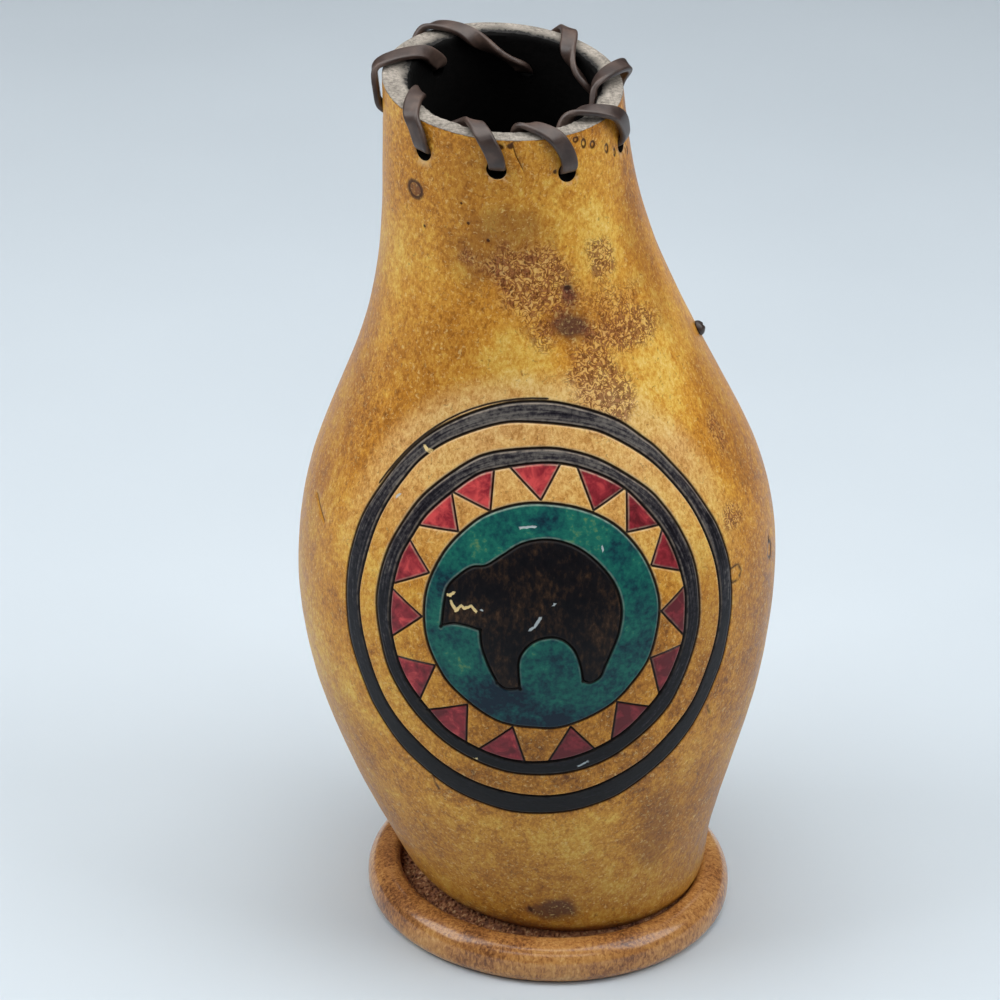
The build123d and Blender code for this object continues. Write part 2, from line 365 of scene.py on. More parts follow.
def skin_place(points):
    """Angles and levels of points on or near the gourd."""
    return np.arctan2(points[..., 1], points[..., 0] - gourd_drift(points[..., 2])), points[..., 2]


def unit(vectors):
    """The same directions, each one long."""
    return vectors / np.maximum(np.linalg.norm(vectors, axis=-1, keepdims=True), 1e-9)


def skin_facing(points):
    """Outward directions of the gourd's skin at points on it."""
    angle, level = skin_place(points)
    rise = -radius_slope(level) - np.cos(angle) * drift_slope(level)
    return unit(np.stack([np.cos(angle), np.sin(angle), rise], -1))


def eased(share):
    """A share that starts and ends gently."""
    return share * share * (3 - 2 * share)


def wall_here(angle):
    """Thickness of the wall at angles in radians: thinner in front and thicker at the left."""
    forward, left = -np.sin(angle + thinnest_turn), -np.cos(angle)
    thinner = np.where(forward > 0, thinner_front, thinner_back) * eased(np.abs(forward))
    return wall - thinner + thicker_left * eased(np.clip(left, 0, 1))


def edge_level(angle, inset=0.0):
    """Level of the sawn edge at angles in radians."""
    level = np.full_like(angle, mouth_level)
    for _ in range(4):
        x, y, _ = np.moveaxis(skin_point(angle, level, inset), -1, 0)
        level = mouth_level - mouth_lean_right * (x - mouth_drift) + mouth_lean_front * y
    return level


# Places on the neck's wall, measured from the sawn edge
mouth_up = np.array(Vector((mouth_lean_right, -mouth_lean_front, 1)).normalized())
mouth_right = np.array(Vector((1, 0, -mouth_lean_right)).normalized())
mouth_back = np.cross(mouth_up, mouth_right)
mouth_centre = np.array((mouth_drift, 0, mouth_level))


def wall_point(angle, across, level):
    """Point of the neck's wall: across is outward from mid-wall, level is up from the sawn edge."""
    ray = mouth_right * cos(radians(angle)) + mouth_back * sin(radians(angle))
    start = mouth_centre + mouth_up * min(level, 0)
    reach = 20.0
    for _ in range(3):
        height = (start + ray * reach)[2]
        ahead = (start[0] - gourd_drift(height)) * ray[0] + start[1] * ray[1]
        flat = ray[0] ** 2 + ray[1] ** 2
        offset = (start[0] - gourd_drift(height)) ** 2 + start[1] ** 2 - gourd_radius(height) ** 2
        reach = (-ahead + (ahead**2 - flat * offset) ** 0.5) / flat
    return mouth_centre + mouth_up * level + ray * (reach - wall / 2 + across)


# Lace stitches in order: angle of the hole, its depth below the edge, how far the lace leans up the
# outside and sweeps over the edge (degrees), how far it arches over the edge and stands off it, and
# how far it twists on its way down inside (degrees)
lace_stitches = [
    (-90.5, 5.76, 5.5, 12.0, 1.1, 0.0, 0.0),
    (-128.0, 5.82, 6.5, 21.0, 1.15, 0.0, 0.0),
    (-178.0, 6.9, 5.0, 27.0, 1.1, 0.5, 0.0),
    (-224.0, 4.8, 6.0, 19.0, 1.1, 0.0, 55.0),
    (-283.5, 7.4, 15.5, 16.0, 1.4, 0.1, 40.0),
    (-336.0, 5.8, 5.0, 26.0, 1.9, 1.0, 0.0),
    (-379.0, 7.0, 8.0, 22.0, 1.7, 0.8, 0.0),
    (-417.5, 6.96, 6.0, 16.5, 1.2, 0.0, 0.0),
]
lacing_hole_radius = 1.9
knot_hole_radius = 1.0
knot_place = (6.0, 116.2)  # degrees, level

# Medallion: measured over the skin from its middle, right and up. A ring line has its half width, its half
# height, its own middle's place, and pushes out or in near some angles, because it was cut by eye.
medallion_angle = radians(-88.94)
medallion_level = 80.7
medallion_reach = 46.0
ring_lines = [
    (39.2, 40.9, 0.1, -0.85, [(53, -2.2), (132, -0.8)]),
    (34.9, 36.6, 0.1, -0.4, [(67, -0.8), (-20, 1.0), (135, 0.4), (205, 0.7)]),
    (30.9, 31.7, -0.4, 0.1, [(62, -0.8), (145, -0.9), (-45, 0.6)]),
    (27.8, 28.5, -0.5, -0.2, [(82, 0.6), (150, -0.6)]),
    (21.25, 21.3, 0.3, 0.5, []),
]
push_spread = radians(22)
ray_tips = [93, 67, 47, 26, 1, -23, -49, -75, -102, -126, -150, -177, -198, -224, -243]
ray_half_width = 9.7  # degrees at the inner ring
ray_tip_share = 1.02  # of the disc's size, so that a tip stops just short of it
ray_overrun = 1.3  # paint is laid past the inner ring, whose cut then ends it
bear_outline = [
    (-17.6, -1.9), (-17.6, -1.9), (-17.3, 2.0), (-16.6, 5.6), (-14.3, 8.3), (-12.2, 9.8), (-9.8, 10.3),
    (-7.0, 12.3), (-3.5, 14.6), (1.0, 15.4), (5.5, 14.3), (9.5, 11.5), (12.8, 7.5), (14.3, 3.0),
    (14.0, -1.5), (12.9, -5.0), (11.8, -8.0), (10.9, -10.3), (9.2, -11.3), (7.9, -10.8), (7.9, -10.8),
    (7.4, -8.0), (6.2, -4.8), (4.3, -2.8), (2.0, -2.1), (-0.8, -2.9), (-2.8, -4.9), (-3.6, -7.5),
    (-3.2, -12.3), (-3.2, -12.3), (-5.5, -12.7), (-7.2, -11.6), (-7.2, -11.6), (-9.0, -8.0), (-10.2, -4.5),
    (-10.5, -1.6), (-10.5, -1.6), (-13.0, -1.1), (-15.5, -1.1),
]
first_try_share = 1.0112  # size of the slipped first cut beside the outer ring
first_try_half_width = 0.24
first_try_depth = 0.2
stroke_length = 7.0  # one knife stroke along a ring
stroke_slip = 0.11
cut_spacing = 0.55
cut_half_width = 0.36
cut_depth = 0.4
fine_cut_half_width = 0.28
fine_cut_depth = 0.3
lip_width = 0.28
carver = np.random.default_rng(11)


def over_skin(places, steps=40):
    """Points reached by walking straight over the skin from the medallion's middle, right and up."""
    start = skin_point(np.array(medallion_angle), medallion_level)
    facing = skin_facing(start)
    right = unit(np.cross((0, 0, 1), facing))
    length = np.linalg.norm(places, axis=1, keepdims=True)
    heading = unit(places[:, :1] * right + places[:, 1:] * np.cross(facing, right))
    points = np.repeat(start[None], len(places), 0)
    for _ in range(steps):
        for share in (0.5, 1.0):
            ahead = points + heading * length * share / steps
            landed = skin_point(*skin_place(ahead))
            normal = skin_facing(landed)
            heading = unit(heading - (heading * normal).sum(1, keepdims=True) * normal)
        points = landed
    return points


def runs(corners, spacing, closed=True):
    """A line through corners divided into short runs. A closed one ends where it starts."""
    corners = np.asarray(corners, float)
    if closed:
        corners = np.vstack([corners, corners[:1]])
    line = [corners[:1]]
    for a, b in zip(corners, corners[1:]):
        count = max(1, round(np.linalg.norm(b - a) / spacing))
        line.append(a + (b - a) * np.arange(1, count + 1)[:, None] / count)
    return np.vstack(line)


def rounded(corners, steps=8):
    """A closed smooth line through corners. A corner given twice stays sharp."""
    c = np.asarray(corners, float)
    before, after, beyond = np.roll(c, 1, 0), np.roll(c, -1, 0), np.roll(c, -2, 0)
    t = np.arange(steps)[:, None, None] / steps
    line = 0.5 * (2 * c + (after - before) * t + (2 * before - 5 * c + 4 * after - beyond) * t**2
                  + (3 * c - before - 3 * after + beyond) * t**3)
    line = line.transpose(1, 0, 2).reshape(-1, 2)
    return line[np.linalg.norm(line - np.roll(line, 1, 0), axis=1) > 1e-6]


def ring_place(ring, angle):
    """Point of a ring line at an angle in radians."""
    half_width, half_height, right, up, pushes = ring
    out = sum(by * np.exp((np.cos(angle - radians(at)) - 1) / push_spread**2) for at, by in pushes)
    return np.array((right + (half_width + out) * np.cos(angle), up + (half_height + out) * np.sin(angle)))


def cut_ring(ring):
    """A ring as a knife cuts it: short strokes that slip a little."""
    strokes = int(2 * pi * ring[0] / stroke_length)
    angles = (np.arange(strokes) + carver.uniform(-0.2, 0.2, strokes)) * 2 * pi / strokes
    slips = carver.normal(0, stroke_slip, strokes)
    corners = [ring_place(ring, a) * (1 + slip / ring[0]) for a, slip in zip(angles, slips)]
    return runs(rounded(corners, 6), cut_spacing)


def inside_loop(places, loop):
    """Which flat places lie inside a closed line."""
    within = np.zeros(len(places), bool)
    for (x0, y0), (x1, y1) in zip(loop, loop[1:]):
        if y0 == y1:
            continue
        crosses = (places[:, 1] > y0) != (places[:, 1] > y1)
        within ^= crosses & (places[:, 0] < x0 + (places[:, 1] - y0) * (x1 - x0) / (y1 - y0))
    return within


def distance_to(places, line):
    """Distance of flat places from a line of straight runs."""
    nearest = np.full(len(places), np.inf)
    for a, b in zip(line, line[1:]):
        run = b - a
        share = np.clip(((places - a) @ run) / max(run @ run, 1e-12), 0, 1)
        nearest = np.minimum(nearest, np.hypot(*(places - a - share[:, None] * run).T))
    return nearest


def beside(line, offset):
    """A line moved sideways by an offset."""
    along = unit(np.gradient(line, axis=0))
    return line + offset * np.stack([-along[:, 1], along[:, 0]], 1)


EVERYWHERE, INSIDE_LINES = 0, 1  # which triangles are kept


def triangulate(places, lines, kept=EVERYWHERE):
    """Flat places and triangles, with every run of the lines kept as an edge."""
    corners = [np.asarray(places)]
    edges, count = [], len(places)
    for line in lines:
        corners.append(line)
        edges += [(count + i, count + i + 1) for i in range(len(line) - 1)]
        count += len(line)
    flat = [Vector(place) for place in np.vstack(corners)]
    result = delaunay_2d_cdt(flat, edges, [], kept, 1e-4)
    return np.array([v[:] for v in result[0]]), np.array([f[:] for f in result[2]])


def outside_loops(places, faces, loops):
    """The triangles that lie outside every closed line."""
    middles = places[faces].mean(1)
    for loop in loops:
        away = ~inside_loop(middles, loop)
        faces, middles = faces[away], middles[away]
    return faces


ring_cuts = [cut_ring(ring) for ring in ring_lines]
bear_cut = runs(rounded(bear_outline), cut_spacing)
rays = []
for tip_angle in ray_tips:
    left, right = np.radians(tip_angle + ray_half_width * np.array((1, -1)) * carver.uniform(0.93, 1.07, 2))
    tip = ring_place(ring_lines[4], radians(tip_angle + carver.uniform(-1, 1))) * ray_tip_share
    rays.append([ring_place(ring_lines[3], left), tip, ring_place(ring_lines[3], right)])
ray_cuts = [runs(pair, cut_spacing, False) for ray in rays for pair in (ray[:2], ray[1:])]

# Worn places in the paint: half width, and each stroke's corners, right and up. Chips are down to the
# bare gourd, and scuffs are whitened paint.
bare_chips = [
    (0.3, [(-16.7, 4.0), (-16.1, 4.2), (-15.5, 4.7)]),
    (0.3, [(-15.9, 3.0), (-15.0, 1.4), (-14.0, 2.6), (-13.5, 2.0), (-12.2, 2.7), (-11.3, 1.8)]),
    (0.5, [(-22.6, 29.9), (-22.0, 29.2), (-21.4, 29.3)]),
    (0.28, [(-11.2, -29.2), (-10.8, -29.1)]),
]
white_scuffs = [
    (0.28, [(-1.7, -0.7), (-1.0, -0.2), (-0.1, 1.4)]),
    (0.26, [(-3.9, 17.4), (-2.7, 17.6), (-1.5, 17.6)]),
    (0.2, [(2.2, 3.9), (2.3, 4.1)]),
    (0.18, [(-10.4, 2.2), (-10.1, 2.1)]),
    (0.2, [(10.5, 14.2), (10.7, 13.4)]),
    (0.22, [(8.2, -29.6), (9.4, -28.9)]),
    (0.2, [(-27.9, 20.1), (-27.3, 20.6)]),
]

# Flat places over the medallion: an even spread, finer round the chips, and none close to a cut
spread = 0.95
row_share = 0.87  # rows stand closer than columns, for even triangles
cut_room = 0.45
stroke_rows = (-1.7, -1.2, -0.8, -0.4, 0, 0.4, 0.8, 1.2, 1.7)  # across a worn stroke, in half widths
columns, rows = np.meshgrid(np.arange(-medallion_reach, medallion_reach, spread),
                            np.arange(-medallion_reach, medallion_reach, spread * row_share))
columns[1::2] += spread / 2
fill = np.stack([columns.ravel(), rows.ravel()], 1)
fill += carver.uniform(-0.12, 0.12, fill.shape)
fill = fill[np.hypot(*fill.T) < medallion_reach - 0.6]
wide_cuts = ring_cuts + [bear_cut]
all_cuts = [(line, cut_half_width, cut_depth) for line in wide_cuts]
all_cuts += [(line, fine_cut_half_width, fine_cut_depth) for line in ray_cuts]
first_try = [ring_place(ring_lines[0], radians(a)) * first_try_share for a in range(90, 147, 4)]
all_cuts += [(runs(first_try, cut_spacing, False), first_try_half_width, first_try_depth)]
for line, half_width, _ in all_cuts:
    fill = fill[distance_to(fill, line) > half_width + cut_room]
for half_width, stroke in bare_chips + white_scuffs:
    line = runs(stroke, 0.22, False)
    near = np.vstack([beside(line, half_width * side) for side in stroke_rows])
    for cut, cut_reach, _ in all_cuts:
        near = near[distance_to(near, cut) > cut_reach + lip_width + 0.1]
    fill = np.vstack([fill, near])
border = np.arange(241) * 2 * pi / 240
border = medallion_reach * np.stack([np.cos(border), np.sin(border)], 1)
medallion_lines = [border]
for line, half_width, _ in all_cuts:
    lip = half_width + lip_width
    medallion_lines += [line] + [beside(line, offset) for offset in (half_width, -half_width, lip, -lip)]
medallion_places, medallion_faces = triangulate(fill, medallion_lines)
medallion_points = over_skin(medallion_places)

cut_here = np.zeros(len(medallion_places))
lip_wear_and_highlight = np.zeros(len(medallion_places))
sink_here = np.zeros(len(medallion_places))
in_bear = inside_loop(medallion_places, bear_cut)
for line, half_width, depth in all_cuts:
    away = distance_to(medallion_places, line)
    bottom = np.clip(1 - away / half_width, 0, 1)
    cut_here = np.maximum(cut_here, bottom)
    sink_here = np.maximum(sink_here, depth * bottom)
    # A lip is a pale band beside a cut: partly its edge scuffed bare, partly a painted highlight
    lip = np.clip(1 - np.abs(away - half_width) / lip_width, 0, 1)
    lip_wear_and_highlight = np.maximum(lip_wear_and_highlight, lip * ~in_bear if line is bear_cut else lip)
# Lips are pale most at the top, a painted highlight of the light from above, and less on the bare skin
# outside the rings
lip_wear_and_highlight *= np.clip(0.45 + medallion_places[:, 1] / 40, 0.1, 1)
lip_wear_and_highlight *= np.where(inside_loop(medallion_places, ring_cuts[0]), 1.0, 0.4)


def worn_away(strokes):
    """How far the paint is worn away at the medallion's places, ragged at the rims of the strokes."""
    worn = np.zeros(len(medallion_places))
    flat = np.pad(medallion_places, ((0, 0), (0, 1)))
    ragged = uneven(flat, 0.45, 0.6) + uneven(flat, 1.3, 0.3)
    for half_width, stroke in strokes:
        away = distance_to(medallion_places, np.asarray(stroke, float)) / half_width
        worn = np.maximum(worn, np.clip(1.4 - away + ragged * (away < 2), 0, 1))
    return worn


def patches(spots):
    """Strength of soft patches of paint at the medallion's places, each given right, up and radius."""
    strength = np.zeros(len(medallion_places))
    ragged = uneven(np.pad(medallion_places, ((0, 0), (0, 1))), 2.0, 0.5)
    for right, up, radius in spots:
        away = np.hypot(medallion_places[:, 0] - right, medallion_places[:, 1] - up) / radius
        strength = np.maximum(strength, np.clip(1.6 - away + ragged, 0, 1))
    return strength


chip_here = worn_away(bare_chips)
scuff_here = worn_away(white_scuffs)
sink_here += 0.1 * chip_here + 0.05 * scuff_here
blue_here = patches([(-17.5, 7.0, 2.2), (-5.5, -15.0, 3.4), (-8.5, -17.0, 3.0), (14.5, 13.5, 2.2),
                     (1.0, 18.3, 2.2), (-3.0, -18.5, 3.2), (3.0, -19.6, 2.6)])
thin_here = patches([(-14.0, -8.0, 2.6), (-10.5, 14.0, 2.6), (-18.0, -5.0, 1.2), (9.0, 14.5, 2.0)])
out_here = np.hypot(*medallion_places.T)
# Painted light and shade: the medallion's paints and skin turn lighter towards its top, where the light
# falls from above, and darker towards its bottom; this fades out near its rim
painted_top_light_here = np.clip(medallion_places[:, 1] / 32, -1, 1) * np.clip((medallion_reach - out_here) / 5, 0, 1)
right_here = np.clip(medallion_places[:, 0] / 12, 0, 1)

# Material slots of the gourd: bare skin, the four paints, the sawn edge and the inside
SKIN, BLACK, RED, GREEN, FIGURE, SAWN, INSIDE = range(7)
middles = medallion_places[medallion_faces].mean(1)
medallion_slots = np.full(len(middles), SKIN)
medallion_slots[inside_loop(middles, ring_cuts[0])] = BLACK
medallion_slots[inside_loop(middles, ring_cuts[1])] = SKIN
medallion_slots[inside_loop(middles, ring_cuts[2])] = BLACK
within_rays = inside_loop(middles, ring_cuts[3])
medallion_slots[within_rays] = SKIN
for left, tip, right in rays:
    wedge = np.array([tip, tip + (left - tip) * ray_overrun, tip + (right - tip) * ray_overrun, tip])
    medallion_slots[within_rays & inside_loop(middles, wedge)] = RED
medallion_slots[inside_loop(middles, ring_cuts[4])] = GREEN
medallion_slots[inside_loop(middles, bear_cut)] = FIGURE

# The rest of the skin, as a flat sheet of angle and level with the medallion and the holes cut out
flat_radius = 30.0
seam = pi / 2
sheet_angles = seam - np.linspace(0, 2 * pi, 145)[::-1]
edge_angles = seam - np.linspace(0, 2 * pi, 289)[::-1]
sheet_levels = np.append(foot_level, np.arange(foot_level + 1.0, mouth_level - 2.6, 1.45))


def wrapped(angles):
    """Angles brought between the sheet's two ends."""
    return seam - np.mod(seam - angles, 2 * pi)


def hole_loop(angle, level, radius, steps=28):
    """A drilled hole as a closed line of angle and level."""
    turn_here = np.arange(steps + 1) * 2 * pi / steps
    angles = angle + radius * np.cos(turn_here) / gourd_radius(level)
    return np.stack([angles, level + radius * np.sin(turn_here)], 1)


lacing_holes = []
for hole_angle, hole_depth, *_ in lace_stitches:
    angle, level = skin_place(wall_point(hole_angle, 0, -hole_depth))
    lacing_holes.append((wrapped(angle), level, lacing_hole_radius))
drilled_holes = lacing_holes + [(radians(knot_place[0]), knot_place[1], knot_hole_radius)]

# Natural marks: angle in degrees, level, half width and half height in millimetres, strength
worm_marks = [
    (-81, 137.6, 6.4, 5.6, 1.0), (-88, 138.5, 3.4, 4.4, 1.0), (-63.5, 119.5, 4.8, 6.6, 1.0),
    (-49, 139.3, 3.2, 3.4, 0.85), (-45.7, 126.6, 7.4, 2.8, 0.95), (-48, 131, 6.0, 4.0, 0.55),
    (-109.4, 140.7, 1.8, 1.5, 0.6), (-82, 129, 3.0, 3.0, 0.6), (-30.1, 91.6, 2.6, 2.2, 0.7),
    (-22.3, 104.3, 2.8, 3.2, 0.6), (-92, 107, 4.0, 1.6, 0.35), (-155, 109, 8.0, 9.0, 0.3),
    (40, 127, 8.0, 7.0, 0.9), (75, 109, 9.0, 6.0, 0.8), (120, 92, 7.0, 10.0, 0.8),
    (150, 132, 6.0, 8.0, 0.9), (20, 67, 9.0, 6.0, 0.6), (95, 57, 10.0, 8.0, 0.7),
    (165, 52, 7.0, 9.0, 0.6), (55, 32, 9.0, 6.0, 0.6),
]
brown_marks = [
    (-38, 35, 12, 10, 0.45), (-52.6, 30, 4.2, 12, 0.9), (-20, 55, 9, 22, 0.4), (-152, 39, 9, 15, 0.5),
    (-168, 97, 8, 30, 0.45), (-22, 137, 4, 14, 0.6), (-12, 107, 6, 14, 0.5),
    (-70.2, 129.4, 2.9, 2.2, 2.0), (-67.8, 135.1, 1.2, 1.6, 2.2), (35, 87, 12, 18, 0.5),
    (100, 127, 9, 12, 0.6), (130, 37, 14, 10, 0.6), (-112, 118, 13, 9, 0.4), (-120, 25, 12, 8, 0.35),
    (-92, 12.9, 3.4, 2.0, 1.6), (-86, 14.2, 3.6, 2.3, 1.7), (-82.5, 16.2, 1.6, 1.1, 1.3),
    (-89.8, 13.7, 1.7, 1.1, 2.4), (-136.1, 150.3, 1.6, 1.3, 1.2), (-91, 146, 7, 5, 0.9),
    (-107, 141, 4, 4, 0.8), (-100, 155, 9, 5, 0.4), (-46, 72, 3.5, 14, 0.4),
]
yellow_marks = [
    (-45.5, 116, 9, 8, 1.0), (-43.3, 142.5, 7, 9, 0.9), (-92.5, 123.5, 6, 5, 1.1),
    (-50, 152, 8, 7, 0.5), (-84, 118, 6, 4, 0.7), (-105, 97, 14, 16, 0.3), (-128, 67, 12, 18, 0.3),
    (-40, 97, 10, 9, 0.6), (60, 147, 12, 9, 0.7), (110, 109, 12, 9, 0.6), (170, 77, 12, 16, 0.5),
    (20, 42, 14, 12, 0.4),
]
# Small dark bites: angle in degrees, level, half width, half height, depth
dark_spots = [
    (-86.0, 161.7, 0.65, 0.55, 0.1), (-90.7, 161.5, 0.6, 0.5, 0.1), (-65.4, 156.5, 0.5, 0.45, 0.12),
    (-67.6, 135.9, 0.75, 0.5, 0.2), (-107.6, 147.1, 0.3, 0.3, 0.1), (-130.6, 144.3, 0.3, 0.3, 0.08),
    (-110.4, 150.5, 0.25, 0.25, 0.08), (-97.6, 13.3, 0.4, 0.8, 0.1), (-13.3, 81.0, 0.5, 0.9, 0.2),
    (-99, 144.5, 0.3, 0.3, 0.1), (-122, 117, 0.3, 0.3, 0.1), (-75, 47, 0.3, 0.4, 0.1),
    (30, 137, 0.6, 0.6, 0.15), (80, 92, 0.7, 0.5, 0.15), (140, 67, 0.6, 0.9, 0.2),
    (110, 147, 0.5, 0.5, 0.15),
]
# Insect bites, dark round their rims only, given the same way
rimmed_spots = [
    (-53.3, 161.5, 0.5, 0.45, 0.1), (-48.9, 160.4, 0.45, 0.75, 0.12), (-43.4, 159.6, 0.5, 0.6, 0.12),
    (-33.8, 157.7, 0.45, 0.75, 0.12), (-27.5, 156.1, 0.35, 0.65, 0.12), (-11.5, 154.0, 0.35, 0.65, 0.1),
    (-136.1, 150.3, 1.7, 1.5, 0.1), (-34.5, 82.0, 1.9, 1.5, 0.1), (-13.3, 79.2, 1.4, 1.6, 0.25),
    (85, 140, 0.6, 0.7, 0.12), (92, 139, 0.5, 0.6, 0.12), (160, 100, 1.4, 1.2, 0.12),
]
# Scratches: angle and level of both ends, half width, depth
scratches = [
    ((-85.2, 162.4), (-83.6, 159.9), 0.2, 0.18), ((-83.6, 159.9), (-81.2, 157.7), 0.16, 0.16),
    ((-163.5, 88.4), (-155.5, 86.0), 0.22, 0.15), ((-42.8, 58.0), (-41.0, 54.2), 0.26, 0.2),
    ((-117.6, 45.5), (-116.4, 42.1), 0.2, 0.1), ((50, 115), (58, 105), 0.22, 0.15),
    ((125, 57), (133, 60), 0.25, 0.15),
]


def near_mark(angle, level, mark):
    """Distance from a mark at flat places, in its own half widths and half heights."""
    mark_angle, mark_level, half_width, half_height = mark[:4]
    across = wrapped(angle - radians(mark_angle) + seam - pi) - seam + pi
    return np.hypot(across * gourd_radius(mark_level) / half_width, (level - mark_level) / half_height)


def scratch_line(scratch):
    """A scratch as a flat line, angle times the flat radius and level."""
    (a0, l0), (a1, l1) = scratch[:2]
    return runs([(radians(a0) * flat_radius, l0), (radians(a1) * flat_radius, l1)], 0.3, False)


def clear_of_holes(places, room):
    """Which places of angle and level lie clear of every drilled hole."""
    clear = np.ones(len(places), bool)
    for angle, level, radius in drilled_holes:
        across = (places[:, 0] - angle) * gourd_radius(level)
        clear &= np.hypot(across, places[:, 1] - level) > radius + room
    return clear


def sheet_border(columns, levels, mouth):
    """Closed line round a sheet of angle and level, from its foot to its mouth line."""
    foot = np.stack([columns, np.full(len(columns), levels[0])], 1)
    left, right = [np.stack([np.full(len(levels), end), levels], 1) for end in columns[[0, -1]]]
    return np.vstack([foot, right[1:], mouth[::-1], left[::-1]])


def cut_sheet(places, outline, openings):
    """Places and triangles of a sheet inside its outline, with the openings cut out."""
    lines = [line * (flat_radius, 1) for line in [outline] + openings]
    places, faces = triangulate(places * (flat_radius, 1), lines, INSIDE_LINES)
    places = places / (flat_radius, 1)
    return places, outside_loops(places, faces, openings)


edge_round = 0.2
below_edge_room = 0.95  # no spread of points nearer the sawn edge, only one row of its own
row_below_edge = 0.4
hole_room = 0.35
border_room = 0.5
spot_rings = (0.0, 0.3, 0.6, 0.85, 1.1, 1.5)  # in half widths and half heights
spot_turn = np.arange(20) * pi / 10
scratch_rows = (-1.6, -1.0, 0.0, 1.0, 1.6)  # in half widths
border_flat = np.stack(skin_place(over_skin(border)), 1)
sheet = np.stack([axis.ravel() for axis in np.meshgrid(sheet_angles, sheet_levels)], 1)
for mark in dark_spots + rimmed_spots:
    dots = np.array([(r * cos(a), r * sin(a)) for r in spot_rings for a in spot_turn])
    dots = dots * mark[2:4] / (gourd_radius(mark[1]), 1) + (radians(mark[0]), mark[1])
    sheet = np.vstack([sheet, dots])
for scratch in scratches:
    line = scratch_line(scratch)
    for offset in scratch_rows:
        sheet = np.vstack([sheet, beside(line, offset * scratch[2]) / (flat_radius, 1)])
sheet = sheet[~inside_loop(sheet, border_flat) & clear_of_holes(sheet, hole_room)]
sheet = sheet[sheet[:, 1] < edge_level(sheet[:, 0]) - below_edge_room]
gap_to_border = distance_to(sheet * (flat_radius, 1), border_flat * (flat_radius, 1))
sheet = sheet[gap_to_border > border_room]

mouth_line = np.stack([edge_angles, edge_level(edge_angles) - edge_round], 1)
sheet = np.vstack([sheet, mouth_line[1:-1] - (0, row_below_edge)])
sheet_outline = sheet_border(sheet_angles, sheet_levels, mouth_line)
hole_lines = [hole_loop(*hole) for hole in drilled_holes]
sheet_places, sheet_faces = cut_sheet(sheet, sheet_outline, [border_flat] + hole_lines)
sheet_points = skin_point(*sheet_places.T)

# How the grown skin swells and ripples, how far from its sawn edge and its foot that begins, and where
# the dye is dark
grown_bump = 0.2
grown_bump_width = 17.0
grown_ripple = 0.05
grown_ripple_width = 5.0
most_growth = 0.12
calm_below_edge = 14.0
calm_foot = 7.0
calm_above_foot = 10.0
foot_brown = 0.65
foot_brown_top = 40.0
foot_brown_reach = 26.0
edge_dark = 0.75
edge_dark_reach = 0.4
scratch_near = 8.0  # no scratch reaches farther from its own middle


def soft_mark(angle, level, marks):
    """Strength of a set of marks at places of angle and level, fading out at their rims."""
    strength = np.zeros(len(angle))
    ragged = uneven(skin_point(angle, level), 3.0, 0.45)
    for mark in marks:
        within = np.clip(1.6 - near_mark(angle, level, mark) + ragged, 0, 1)
        strength = np.maximum(strength, mark[4] * within)
    return strength


def skin_fields(points):
    """Fields of the natural marks at points of the skin, and how deep they sink."""
    angle, level = skin_place(points)
    fields = {"worms": soft_mark(angle, level, worm_marks), "brown": soft_mark(angle, level, brown_marks),
              "yellow": soft_mark(angle, level, yellow_marks)}
    near_foot = np.clip((foot_brown_top - level) / foot_brown_reach, 0, 1)
    fields["brown"] = np.maximum(fields["brown"], foot_brown * near_foot)
    dark, sink = np.zeros(len(angle)), np.zeros(len(angle))
    for mark in dark_spots:
        bite = np.clip(1.5 - near_mark(angle, level, mark), 0, 1)
        dark = np.maximum(dark, bite)
        sink = np.maximum(sink, mark[4] * bite)
    flat = np.stack([wrapped(angle) * flat_radius, level], 1)
    for scratch in scratches:
        line = scratch_line(scratch)
        close = np.abs(flat - line.mean(0)).max(1) < scratch_near
        bite = np.clip(1.5 - distance_to(flat[close], line) / scratch[2], 0, 1)
        dark[close] = np.maximum(dark[close], 0.8 * bite)
        sink[close] = np.maximum(sink[close], scratch[3] * bite)
    for mark in rimmed_spots:
        away = near_mark(angle, level, mark)
        rim = min(0.55, 0.4 / mark[3])
        dark = np.maximum(dark, np.clip(1.3 - np.abs(away - 0.95) / rim, 0, 0.85))
        sink = np.maximum(sink, mark[4] * np.clip(1.4 - away, 0, 1))
    below_edge = edge_level(angle) - edge_round - level
    dark = np.maximum(dark, edge_dark * np.clip(1 - below_edge / edge_dark_reach, 0, 1))
    fields["dark"] = dark
    places = np.stack([wrapped(angle), level], 1)
    return fields, sink * np.clip(below_edge / 0.6, 0, 1) * clear_of_holes(places, 0.2)


def grown(points):
    """Points of the skin moved in or out as the gourd grew, but not at its sawn edge or its foot."""
    angle, level = skin_place(points)
    settled = np.clip((edge_level(angle) - edge_round - level) / calm_below_edge, 0, 1)
    settled = settled * np.clip((level - calm_foot) / calm_above_foot, 0, 1)
    growth = uneven(points, grown_bump_width, grown_bump)
    growth = growth + uneven(points, grown_ripple_width, grown_ripple)
    return points + skin_facing(points) * np.minimum(growth * settled, most_growth)[:, None]


outer_points = np.vstack([medallion_points, sheet_points])
outer_fields, outer_sink = skin_fields(outer_points)
padding = np.zeros(len(sheet_points))
medallion_fields = {"cut": cut_here, "lip": lip_wear_and_highlight, "chip": chip_here, "scuff": scuff_here,
                    "blue": blue_here, "thin": thin_here, "out": out_here, "high": painted_top_light_here,
                    "right": right_here}
outer_fields.update({label: np.append(values, padding) for label, values in medallion_fields.items()})
outer_sink += np.append(sink_here, padding)
outer_grown = grown(outer_points) - skin_facing(outer_points) * outer_sink[:, None]

